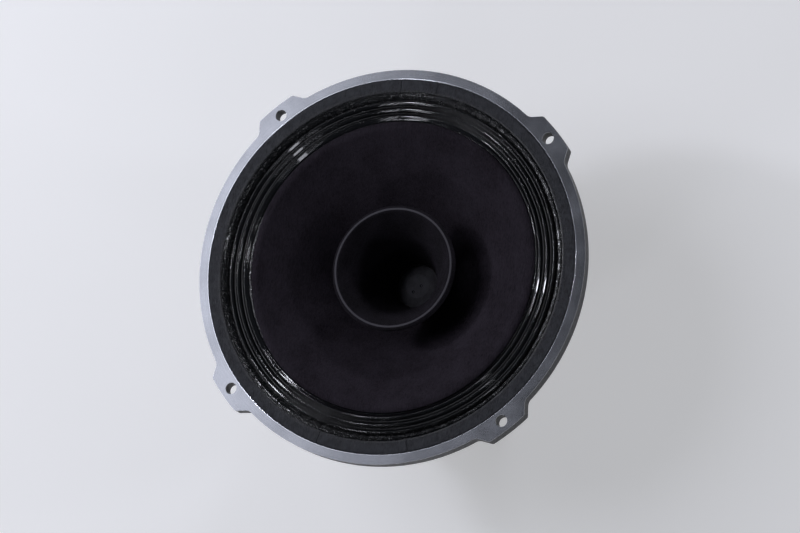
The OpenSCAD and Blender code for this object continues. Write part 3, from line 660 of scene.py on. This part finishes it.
# Cloth rings bend between a fixed and a moving circle, by the distance from the axis
def bendByRadius(piece, fixedRadius, movingRadius):
    span = (movingRadius * mm, 0, 0), (fixedRadius * mm, 0, 0)
    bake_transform(piece, "diaphragm", "chassis", start=span[0], end=span[1])
    weights = piece.data.attributes["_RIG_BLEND"].data
    for vert, weight in zip(piece.data.vertices, weights):
        weight.value = smoothStep(radius(vert.co), movingRadius * mm, fixedRadius * mm)


def banded(line, thickness):
    half = thickness / 2
    return [(r, z + half) for r, z in line] + [(r, z - half) for r, z in reversed(line)]


# Frame of the driver

finishPiece("castFrame", cadCopy("basket"), "paintedCasting", "basket", "chassis",
            bevel=0.35)

gasket = {"inner": 90.6, "outer": 97.2, "low": -3.0, "high": -0.02, "corner": 0.35, "across": 8,
          "joints": (84, 96, 257, 286), "gap": 0.3, "stepAngle": 1.0, "fewestSteps": 4,
          "lumpDepth": 0.5, "frayWidth": 0.4}


def feltArcs():
    g = gasket
    whole = bmesh.new()
    bounds = list(g["joints"]) + [g["joints"][0] + 360]
    gapAngle = math.degrees(g["gap"] / g["outer"])
    outline = roundedBox(g, g["across"])
    for start, end in zip(bounds, bounds[1:]):
        span = end - start - gapAngle
        steps = max(g["fewestSteps"], round(span / g["stepAngle"]))
        first = math.radians(start + gapAngle / 2)
        joinInto(whole, spinLine(outline, steps, True, first, math.radians(span)))
    top = (g["high"] - g["lumpDepth"]) * mm
    jitter(whole, 0.05, 0.35, where=lambda co: co.z > top)
    for vert in whole.verts:
        if radius(vert.co) < (g["inner"] + g["frayWidth"]) * mm:
            spot = vert.co / mm
            wobble = ripple(spot, 0.18, 0.28) + ripple(spot, 0.1, 0.9)
            vert.co.xy *= 1 + wobble * mm / radius(vert.co)
    return whole


finishPiece("feltGasket", feltArcs(), "gasketFelt", "front_gasket", "chassis",
            sharpAngle=60)

surround = {"lipInner": 73.22, "rollInner": 76.5, "rollOuter": 87.75, "rolls": 3,
            "rollHeight": 1.7, "middle": -2.55, "cloth": 0.4, "innerLip": -3.8, "outerLip": -3.2,
            "lipRise": 0.03, "outer": 97.2, "crease": 0.97, "steps": 40, "around": 300,
            "uneven": (77, 87)}


def surroundLine():
    s = surround
    pitch = (s["rollOuter"] - s["rollInner"]) / s["rolls"]
    count = s["steps"] * s["rolls"]
    line = [(s["lipInner"], s["innerLip"]), (s["rollInner"] - 1.2, s["innerLip"]),
            (s["rollInner"] - 0.5, s["innerLip"] + s["lipRise"])]
    for i in range(count + 1):
        u = i / count * s["rolls"]
        wave = math.asin(s["crease"] * math.cos(fullTurn * u)) / math.asin(s["crease"])
        line.append((s["rollInner"] + u * pitch, s["middle"] - s["rollHeight"] / 2 * wave))
    return line + [(r, s["outerLip"]) for r in (s["rollOuter"] + 0.5, 90.0, s["outer"])]


def betweenLips(co):
    low, high = surround["uneven"]
    return low * mm < radius(co) < high * mm


bm = spinLine(banded(surroundLine(), surround["cloth"]), surround["around"])
jitter(bm, 0.06, 0.12, where=betweenLips)
rolled = finishPiece("rolledSurround", bm, "dopedCloth", "surround", None,
                     sharpAngle=70)
bendByRadius(rolled, surround["rollOuter"], surround["rollInner"])

dopeBead = {
    "line": [(87.65, -3.05), (87.75, -2.85), (88.3, -2.62), (88.9, -2.35), (89.5, -1.95),
             (90.0, -1.4), (90.3, -0.85), (90.5, -0.45), (90.75, -0.22), (90.95, -0.28),
             (90.95, -0.9), (90.7, -2.0), (90.4, -3.05)],
    "around": 900, "foot": -3.0, "frayed": (90.2, 91.2), "highest": 0.12,
}


def dopeLumps(bead):
    for vert in bead.verts:
        spot = vert.co / mm
        fray = ripple(spot, 0.3, 0.55, (7, 0, 0)) + ripple(spot, 0.35, 2.3)
        sideways = ripple(spot, 0.3, 0.3) + fray * smoothStep(radius(spot), *dopeBead["frayed"])
        lift = ripple(spot, 0.12, 0.6, (0, 9, 0)) + ripple(spot, 0.28, 1.6)
        vert.co.xy *= 1 + sideways / radius(spot)
        if spot.z >= dopeBead["foot"]:
            vert.co.z += min(lift, dopeBead["highest"]) * mm


bm = spinLine(dopeBead["line"], dopeBead["around"])
dopeLumps(bm)
finishPiece("dopeBead", bm, "glossyDope", None, "chassis", sharpAngle=80)

# Moving parts

cone = {"start": 11.75, "end": 72.5, "curve": 1.3, "base": -52.9, "rise": 50.0, "outer": 75.8,
        "lipFront": -2.9, "lipBack": -3.6, "lipRound": 0.15, "lipInner": 73.22, "paper": 0.7,
        "collar": -55.5, "steps": 72, "around": 224}

# Radius from which the two cones are uneven, so that their collars stay true
trueNeck = 14


def offNeck(co):
    return radius(co) > trueNeck * mm


# Both cones widen by a power of the height
def flarePoint(look, t):
    return Vector((look["start"] + (look["end"] - look["start"]) * t ** look["curve"],
                   look["base"] + t * look["rise"]))


def flareSlope(look, t):
    widening = (look["end"] - look["start"]) * look["curve"] * t ** (look["curve"] - 1)
    return widening / look["rise"]


def flareNormal(look, t):
    return Vector((1, -flareSlope(look, t))).normalized()


def coneBack(t, lift=0.0):
    return flarePoint(cone, t) + (cone["paper"] + lift) * flareNormal(cone, t)


def coneStation(reach):
    return ((reach - cone["start"]) / (cone["end"] - cone["start"])) ** (1 / cone["curve"])


def coneOutline():
    c = cone
    stations = [i / c["steps"] for i in range(c["steps"] + 1)]
    front = [tuple(flarePoint(c, t)) for t in stations]
    back = [tuple(coneBack(t)) for t in reversed(stations)]
    edge = [(c["outer"] - c["lipRound"], c["lipFront"]),
            (c["outer"], c["lipFront"] - c["lipRound"]),
            (c["outer"], c["lipBack"]), (c["lipInner"], c["lipBack"])]
    foot = [(c["start"], c["collar"]), (c["start"] + c["paper"], c["collar"])]
    return foot[:1] + front + edge + back + foot[1:]


bm = spinLine(coneOutline(), cone["around"])
jitter(bm, 0.16, 0.045, where=offNeck)
jitter(bm, 0.05, 0.22, where=offNeck)
finishPiece("paperCone", bm, "conePaper", "main_cone", "diaphragm", sharpAngle=50)

# The bead of glue is thick between two directions, in degrees, and thin elsewhere
edgeGlue = {
    "line": [(74.3, -2.95), (74.7, -2.78), (75.3, -2.66), (75.8, -2.68), (76.2, -2.95),
             (76.45, -3.3), (76.3, -3.62), (75.6, -3.5), (74.9, -3.3)],
    "around": 900, "core": (75.5, -3.15), "thickFrom": (153, 188), "thickTo": (192, 227),
    "thinnest": 0.1,
}


def glueLumps(bead):
    g = edgeGlue
    coreReach, coreHeight = g["core"]
    for vert in bead.verts:
        spot = vert.co / mm
        reach = radius(spot)
        angle = math.degrees(math.atan2(spot.y, spot.x)) % 360
        heavy = smoothStep(angle, *g["thickFrom"]) * (1 - smoothStep(angle, *g["thickTo"]))
        swell = 0.22 + 0.6 * heavy + ripple(spot, 0.35 + 0.4 * heavy, 1.5)
        swell = max(g["thinnest"], swell)
        newReach = coreReach + (reach - coreReach) * swell + ripple(spot, 0.25, 0.3)
        vert.co.xy *= newReach / reach
        vert.co.z = (coreHeight + (spot.z - coreHeight) * swell) * mm


bm = spinLine(edgeGlue["line"], edgeGlue["around"])
glueLumps(bm)
finishPiece("edgeGlue", bm, "glossyDope", None, "diaphragm", sharpAngle=80)

whizzer = {"start": 12.15, "end": 29.4, "curve": 1.5, "base": -48.21, "rise": 40.21,
           "seat": -50.71, "neck": 11.75, "paper": 0.8, "roll": 1.6, "rollTurn": 170,
           "steps": 60, "rollSteps": 28, "around": 192}


def whizzerOutline():
    w = whizzer
    half = w["paper"] / 2
    stations = [i / w["steps"] for i in range(w["steps"] + 1)]
    front = [flarePoint(w, t) - half * flareNormal(w, t) for t in stations]
    back = [flarePoint(w, t) + half * flareNormal(w, t) for t in reversed(stations)]
    middle = flarePoint(w, 1) + w["roll"] * flareNormal(w, 1)
    start = math.pi - math.atan(flareSlope(w, 1))
    curl = math.radians(w["rollTurn"])
    turns = [start - curl * i / w["rollSteps"] for i in range(1, w["rollSteps"] + 1)]
    ways = [Vector((math.cos(a), math.sin(a))) for a in turns]
    outside = [middle + (w["roll"] + half) * way for way in ways]
    inside = [middle + (w["roll"] - half) * way for way in reversed(ways)]
    line = [(w["neck"], w["seat"])] + front + outside + inside + back
    return [tuple(point) for point in line] + [(w["neck"] + w["paper"], w["seat"])]


bm = spinLine(whizzerOutline(), whizzer["around"])
jitter(bm, 0.07, 0.12, where=offNeck)
finishPiece("whizzerHorn", bm, "whizzerPaper", "whizzer_cone", "diaphragm",
            sharpAngle=50)

dome = {"radius": 11.35, "height": 3.6, "paper": 0.4, "base": -51.21, "skirt": 2.0, "disc": 6.4,
        "discSoft": 0.35, "step": 0.07, "steps": 30, "around": 128, "pinhole": 0.7,
        "pinholeSides": 20}


def domeShell(ball, edge, centre):
    d = dome
    turn = math.asin(edge / ball) / d["steps"]
    shell = []
    for i in range(d["steps"] + 1):
        reach = ball * math.sin(turn * i)
        pressed = smoothStep(reach, d["disc"] + d["discSoft"], d["disc"] - d["discSoft"]) - 0.5
        shell.append((reach, centre + ball * math.cos(turn * i) + d["step"] * pressed))
    return shell


def domeOutline():
    d = dome
    ball = (d["radius"] ** 2 + d["height"] ** 2) / (2 * d["height"])
    centre = d["base"] + d["height"] - ball
    low = d["base"] - d["skirt"]
    inner = d["radius"] - d["paper"]
    outside = domeShell(ball, d["radius"], centre)
    inside = domeShell(ball - d["paper"], inner, centre)
    return outside + [(d["radius"], low), (inner, low)] + list(reversed(inside))


def pinholeDrills():
    bm = bmesh.new()
    size = dome["pinhole"] / 2 * mm
    for x, y in pinholes:
        place = Matrix.Translation(Vector((x, y, dome["base"] + dome["height"] / 2)) * mm)
        bmesh.ops.create_cone(
            bm, cap_ends=True, segments=dome["pinholeSides"], radius1=size, radius2=size,
            depth=2 * dome["height"] * mm, matrix=place)
    return bm


bm = spinLine(domeOutline(), dome["around"], closed=False)
dustDome = finishPiece("dustDome", bm, "domePaper", "dust_cap", "diaphragm",
                       sharpAngle=50)
cutAway(dustDome, pinholeDrills())

former = {"inner": 11.4, "outer": 11.7, "low": -74.5, "high": -48.51, "corner": 0.06,
          "around": 128}
bm = spinLine(roundedBox(former), former["around"])
finishPiece("coilFormer", bm, "formerCard", "voice_coil_former", "diaphragm")

winding = {"inner": 11.71, "outer": 12.4, "low": -74.0, "high": -64.0, "turns": 28, "around": 128,
           "wireTurns": (22.5, 67.5, 112.5, 157.5)}


def windingOutline():
    w = winding
    wire = (w["high"] - w["low"]) / w["turns"] / 2
    core = w["outer"] - wire
    line = [(w["inner"], w["low"])]
    for turn in range(w["turns"]):
        middle = w["low"] + wire * (2 * turn + 1)
        for a in w["wireTurns"]:
            line.append((core + wire * math.sin(math.radians(a)),
                         middle - wire * math.cos(math.radians(a))))
    return line + [(w["inner"], w["high"])]


bm = spinLine(windingOutline(), winding["around"])
finishPiece("coilWinding", bm, "enamelWire", "voice_coil_winding", "diaphragm",
            sharpAngle=80)

spider = {"neck": 11.75, "cloth": 0.5, "plane": -57.0, "collar": 2.0, "waveInner": 14.25,
          "waveOuter": 36.5, "waves": 6, "height": 2.0, "lip": 37.3, "outer": 40.9, "steps": 22,
          "around": 200}


def spiderOutline():
    s = spider
    count = s["steps"] * s["waves"]
    line = [(s["neck"] + s["cloth"], s["plane"])]
    for i in range(count + 1):
        u = i / count
        line.append((s["waveInner"] + (s["waveOuter"] - s["waveInner"]) * u,
                     s["plane"] + s["height"] / 2 * math.sin(fullTurn * u * s["waves"])))
    line += [(s["lip"], s["plane"]), (s["outer"], s["plane"])]
    bottom = s["plane"] - s["collar"]
    return ([(s["neck"], bottom), (s["neck"], s["plane"] + s["cloth"] / 2)]
            + banded(line, s["cloth"]) + [(s["neck"] + s["cloth"], bottom)])


bm = spinLine(spiderOutline(), spider["around"])
waves = finishPiece("spiderCloth", bm, "spiderCloth", "spider", None,
                    sharpAngle=60)
bendByRadius(waves, spider["waveOuter"], spider["waveInner"])

fibreRing = {"inner": 37.5, "outer": 40.9, "low": -56.75, "high": -55.25, "corner": 0.2,
             "around": 160}
bm = spinLine(roundedBox(fibreRing), fibreRing["around"])
finishPiece("fibreRing", bm, "fibreBoard", "spider_ring", "chassis")
print("moving parts ready")

# Motor

# Outline, steps around, look, node, slot, sharp angle and bevel
motorRings = {
    "topPlate": (
        [(13.0, -72.0), (53.7, -72.0), (54.0, -71.7), (54.0, -66.3), (53.7, -66.0),
         (13.3, -66.0), (13.0, -66.3)],
        200, "zincPlate", "top_plate", "plated_steel", 40, 0.12),
    "ferriteRing": (
        [(25, -88), (53.5, -88), (55, -86.5), (55, -73.5), (53.5, -72), (25, -72)],
        200, "ferriteBlack", "magnet_ring", "ferrite", 30, 0.3),
    "backPlate": (
        [(4, -88), (54, -88), (54, -93.2), (53.2, -94), (7.1, -94), (7.1, -93.0), (4, -93.0)],
        200, "zincPlate", "back_plate", "plated_steel", 30, 0.15),
    "poleSteel": (
        [(4, -88), (10.8, -88), (10.8, -65.9), (10.4, -65.5), (4.5, -65.5), (4, -66)],
        128, "zincPlate", "pole_piece", "plated_steel", 30, 0.1),
}
for name, (outline, around, look, node, slot, sharp, bevel) in motorRings.items():
    finishPiece(name, spinLine(outline, around), look, node, "chassis", sharp, bevel)

finishPiece("ventMesh", cadCopy("vent_mesh"), "meshSteel", "vent_mesh", "chassis",
            bevel=0.06)

screws = {"circle": 47.0, "angles": (0, 90, 180, 270), "headRadius": 4.5, "headHeight": 3.0,
          "crown": (1.6, 1.8), "crownSteps": 6, "seat": -61.7, "seatRound": 0.15, "shank": 2.45,
          "tip": -70.8, "tipChamfer": 0.4, "around": 48, "crossLength": 5.0, "crossWidth": 1.0,
          "crossDepth": 1.5, "cutterHeight": 4.0, "taper": (0.7, 0.8, 1), "twist": 1.7}


def atScrews(outline):
    whole = bmesh.new()
    for angle in screws["angles"]:
        part = spinLine(outline, screws["around"], closed=False)
        outward = Matrix.Translation((screws["circle"] * mm, 0, 0))
        place = Matrix.Rotation(math.radians(angle), 4, "Z") @ outward
        bmesh.ops.transform(part, matrix=place, verts=part.verts)
        joinInto(whole, part)
    return whole


def panHead():
    s = screws
    top = s["seat"] + s["headHeight"]
    width, drop = s["crown"]
    line = [(0.0, top)]
    for step in range(1, s["crownSteps"] + 1):
        a = math.radians(90 - 90 * step / s["crownSteps"])
        line.append((s["headRadius"] - width * (1 - math.cos(a)), top - drop * (1 - math.sin(a))))
    return line + [
        (s["headRadius"], s["seat"] + s["seatRound"]),
        (s["headRadius"] - s["seatRound"], s["seat"]), (s["shank"], s["seat"]),
        (s["shank"], s["tip"] + s["tipChamfer"]), (s["shank"] - s["tipChamfer"], s["tip"]),
        (0.0, s["tip"])]


def crossCutters():
    bm = bmesh.new()
    s = screws
    middle = s["seat"] + s["headHeight"] - s["crossDepth"] + s["cutterHeight"] / 2
    outward = Matrix.Translation(Vector((s["circle"], 0, middle)) * mm)
    for angle in s["angles"]:
        for quarter in (0, 90):
            made = bmesh.ops.create_cube(bm, size=1.0)["verts"]
            size = Vector((s["crossLength"], s["crossWidth"], s["cutterHeight"])) * mm
            bmesh.ops.scale(bm, vec=size, verts=made)
            lower = [vert for vert in made if vert.co.z < 0]
            bmesh.ops.scale(bm, vec=s["taper"], verts=lower)
            turn = Matrix.Rotation(math.radians(quarter + angle * s["twist"]), 4, "Z")
            place = Matrix.Rotation(math.radians(angle), 4, "Z") @ outward @ turn
            bmesh.ops.transform(bm, matrix=place, verts=made)
    return bm


panScrews = finishPiece("panScrews", atScrews(panHead()), "screwZinc", "motor_screws", "chassis",
                        sharpAngle=35)
cutAway(panScrews, crossCutters(), overlapping=True)

washer = {"inner": 2.65, "outer": 4.8, "low": -62.7, "high": -61.7, "corner": 0.15}
outline = roundedBox(washer)
bm = atScrews(outline + outline[:1])
finishPiece("screwWashers", bm, "screwZinc", "motor_washers", "chassis",
            sharpAngle=50)
print("motor ready")

# Terminals

terminalPieces = {
    "terminalBoard": ("terminal_board", "phenolicBoard", "phenolic_board", 0.15),
    "boardRivets": ("terminal_rivets", "rivetAlloy", "rivet_alloy", 0.4),
    "positiveSolderTag": ("positive_tag", "tinnedBrass", "tinned_brass", 0.1),
    "negativeSolderTag": ("negative_tag", "tinnedBrass", "tinned_brass", 0.1),
    "tagRivets": ("tag_rivets", "tinnedBrass", "tinned_brass", 0.22),
}
for name, (node, look, slot, bevel) in terminalPieces.items():
    finishPiece(name, cadCopy(node), look, node, "chassis", bevel=bevel)

joint = {"circle": 31.0, "angle": 16.0, "radius": 2.2, "height": 1.6, "bond": 0.15,
         "straight": 1.8, "leadEnd": 0.6, "steps": 8, "around": 40}
lead = {
    "start": (12, -75.496, -43), "radius": 0.8, "core": 0.5, "strands": 6, "strand": 0.15,
    "lift": 0.07, "turnPerMm": 1.4, "step": 0.14, "pathStep": 0.05,
    "middle": [(12, -73, -43), (11.9, -70, -43.7), (11.7, -66.5, -45), (11.4, -63, -46.3),
               (11.1, -59, -47.3), (10.8, -55, -47.8), (10.5, -51, -47.7), (10.2, -47, -46.9),
               (9.9, -43.5, -45.4), (9.7, -40.3, -43.4), (9.5, -37.4, -41.2), (9.3, -34.6, -38.8)],
}
jointStation = coneStation(joint["circle"] - cone["paper"])
jointFoot = coneBack(jointStation)
jointOut = flareNormal(cone, jointStation)


def aroundAxis(point, angle):
    a = math.radians(angle)
    return Vector((point[0] * math.sin(a), -point[0] * math.cos(a), point[1]))


def jointPoint(height):
    return aroundAxis(jointFoot + height * jointOut, joint["angle"])


def smoothPath(points):
    ends = [2 * points[0] - points[1]] + points + [2 * points[-1] - points[-2]]
    path = []
    for a, b, c, d in zip(ends, ends[1:], ends[2:], ends[3:]):
        count = max(1, round((c - b).length / lead["pathStep"]))
        for i in range(count):
            t = i / count
            path.append(0.5 * (2 * b + (c - a) * t + (2 * a - 5 * b + 4 * c - d) * t ** 2
                               + (3 * b - a - 3 * c + d) * t ** 3))
    return path + [points[-1]]


def tubeMesh(paths, reach):
    curve = bpy.data.curves.new("tube", "CURVE")
    curve.dimensions = "3D"
    curve.bevel_depth = reach * mm
    curve.bevel_resolution = 2
    curve.use_fill_caps = True
    for path in paths:
        line = curve.splines.new("POLY")
        line.points.add(len(path) - 1)
        for point, place in zip(line.points, path):
            point.co = (*(place * mm), 1.0)
    holder = addObject("tube", curve)
    made = evaluatedMesh(holder)
    bpy.data.objects.remove(holder)
    bm = bmesh.new()
    bm.from_mesh(made)
    bpy.data.meshes.remove(made)
    return bm


def evenPath(points):
    path = smoothPath(points)
    spots, travelled = [path[0]], 0.0
    for a, b in zip(path, path[1:]):
        travelled += (b - a).length
        if travelled >= lead["step"] * len(spots):
            spots.append(b)
    return spots


# Strands wound both ways round a core, over and under each other
def braid(points):
    route = evenPath(points)
    side = Vector((1, 0, 0))
    frames = []
    for i, spot in enumerate(route):
        ahead = (route[min(i + 1, len(route) - 1)] - route[max(i - 1, 0)]).normalized()
        side = (side - ahead * side.dot(ahead)).normalized()
        frames.append((spot, side, ahead.cross(side)))
    strands = []
    for hand in (1, -1):
        for k in range(lead["strands"]):
            phase = fullTurn * k / lead["strands"]
            strand = []
            for i, (spot, across, upward) in enumerate(frames):
                wound = lead["turnPerMm"] * lead["step"] * i
                angle = phase + hand * wound
                reach = lead["radius"] - lead["strand"] - lead["lift"]
                reach += hand * lead["lift"] * math.cos(lead["strands"] * wound)
                outward = math.cos(angle) * across + math.sin(angle) * upward
                strand.append(spot + reach * outward)
            strands.append(strand)
    whole = tubeMesh(strands, lead["strand"])
    joinInto(whole, tubeMesh([route], lead["core"]))
    return whole


for side, way in (("positive", 1), ("negative", -1)):
    flip = Vector((way, 1, 1))
    points = [Vector(p) for p in [lead["start"]] + lead["middle"]]
    points.append(jointPoint(joint["height"] + joint["straight"]))
    points.append(jointPoint(joint["height"] * joint["leadEnd"]))
    bm = braid([p * flip for p in points])
    cable = finishPiece(side + "Lead", bm, "copperBraid", side + "_lead", None,
                        sharpAngle=80)
    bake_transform(cable, "chassis", "diaphragm", start=tuple(Vector(lead["start"]) * flip * mm),
             end=tuple(jointPoint(0) * flip * mm))


def solderDrop(way):
    j = joint
    rise = j["height"] - j["bond"]
    line = [(0.0, j["height"])]
    for step in range(1, j["steps"] + 1):
        a = math.radians(90 - 90 * step / j["steps"])
        line.append((j["radius"] * math.cos(a) ** 0.85, j["bond"] + rise * math.sin(a) ** 1.2))
    line += [(j["radius"] - 0.2, j["bond"] - 0.1), (0.0, j["bond"] - 0.1)]
    drop = spinLine(line, j["around"], closed=False)
    turn = Vector((0, 0, 1)).rotation_difference(aroundAxis(jointOut, j["angle"]))
    place = Matrix.Translation(jointPoint(0) * mm) @ turn.to_matrix().to_4x4()
    bmesh.ops.transform(drop, matrix=place, verts=drop.verts)
    if way < 0:
        bmesh.ops.scale(drop, vec=(-1, 1, 1), verts=drop.verts)
        bmesh.ops.reverse_faces(drop, faces=drop.faces)
    jitter(drop, 0.12, 0.9)
    return drop


bm = solderDrop(1)
joinInto(bm, solderDrop(-1))
finishPiece("leadJoints", bm, "solderTin", "lead_joints", "diaphragm", sharpAngle=60)

tail = {"radius": 0.4, "lift": 0.55, "start": (12.85, -55.1), "stations": 24, "first": 0.02}


def tailPath(way):
    shares = [tail["first"] + (1 - tail["first"]) * i / tail["stations"]
              for i in range(tail["stations"] + 1)]
    line = [Vector(tail["start"])]
    line += [coneBack(jointStation * share, tail["lift"]) for share in shares]
    return [aroundAxis(p, joint["angle"]) * Vector((way, 1, 1)) for p in line]


bm = tubeMesh([tailPath(1), tailPath(-1)], tail["radius"])
finishPiece("coilTails", bm, "enamelWire", "coil_tails", "diaphragm", sharpAngle=80)
print("terminals ready")


# Studio. A lamp's numbers are its direction and its tilt from upright in degrees, its distance
# and size in metres and its power in watts.

studio = {
    "floorDark": srgb(224, 224, 226), "floorLight": srgb(228, 228, 230), "floorPatch": 3.0,
    "floorSize": 6.0, "floorGap": 0.5 * mm, "floorGlow": 0.36,
    "horizon": 0.058, "zenith": 0.02, "skyColour": (0.84, 0.93, 1.12, 1),
    "lampColour": (0.965, 0.985, 1.09),
    "lamps": {
        "keyLight": (168, 43, 1.6, 1.25, 7.8),
        "keyCore": (170, 56, 0.9, 0.11, 1.6),
        "rightLight": (8, 78, 0.9, 0.12, 1.0),
        "frontLight": (249, 70, 1.0, 0.14, 0.8),
        "backLight": (80, 78, 1.0, 0.14, 1.7),
        "cornerLight": (312, 64, 1.0, 0.12, 0.22),
    },
}


def studioFloor():
    bm = bmesh.new()
    bmesh.ops.create_grid(bm, x_segments=1, y_segments=1, size=studio["floorSize"] / 2)
    bmesh.ops.translate(bm, vec=(0, 0, cadLow.z - studio["floorGap"]), verts=bm.verts)
    mesh = meshFrom("studioFloor", bm)
    tree, shader, place = newMaterial("paleFloor", Roughness=0.85)
    cloud = mottled(tree, place, studio["floorPatch"], studio["floorDark"], studio["floorLight"])
    # The floor looks pale to the camera and in metal, but lights nothing
    ray = addNode(tree, "LightPath").outputs
    seen = calc(tree, "MAXIMUM", ray["Is Glossy Ray"], ray["Is Transmission Ray"])
    seen = calc(tree, "MAXIMUM", ray["Is Camera Ray"], seen)
    glow = product(tree, seen, studio["floorGlow"])
    grey = addNode(tree, "CombineColor", {0: glow, 1: glow, 2: glow}).outputs[0]
    sockets = {"Base Color": cloud, "Emission Color": grey, "Emission Strength": 1.0}
    fillSockets(tree, shader, sockets)
    mesh.materials.append(looks["paleFloor"])
    floor = addObject("studioFloor", mesh)


def softBox(name, turn, tilt, distance, size, power):
    box = bpy.data.lights.new(name, "AREA")
    box.shape = "DISK"
    box.size = size
    box.energy = power
    box.color = studio["lampColour"]
    turn, tilt = math.radians(turn), math.radians(tilt)
    level = math.sin(tilt)
    toward = Vector((level * math.cos(turn), level * math.sin(turn), math.cos(tilt)))
    aim = Vector((0, 0, 1)).rotation_difference(toward).to_matrix().to_4x4()
    addObject(name, box).matrix_world = Matrix.Translation(toward * distance) @ aim


studioFloor()
for name, numbers in studio["lamps"].items():
    softBox(name, *numbers)

world = bpy.data.worlds.new("studioWorld")
scene.world = world
world.use_nodes = True
sky = world.node_tree
upward = heightIn(sky, addNode(sky, "TexCoord").outputs["Generated"])
glow = remap(sky, upward, 0.0, 1.0, studio["horizon"], studio["zenith"])
fillSockets(sky, sky.nodes["Background"], {"Strength": glow, "Color": studio["skyColour"]})
scene.view_settings.view_transform = "Standard"
print("studio ready")
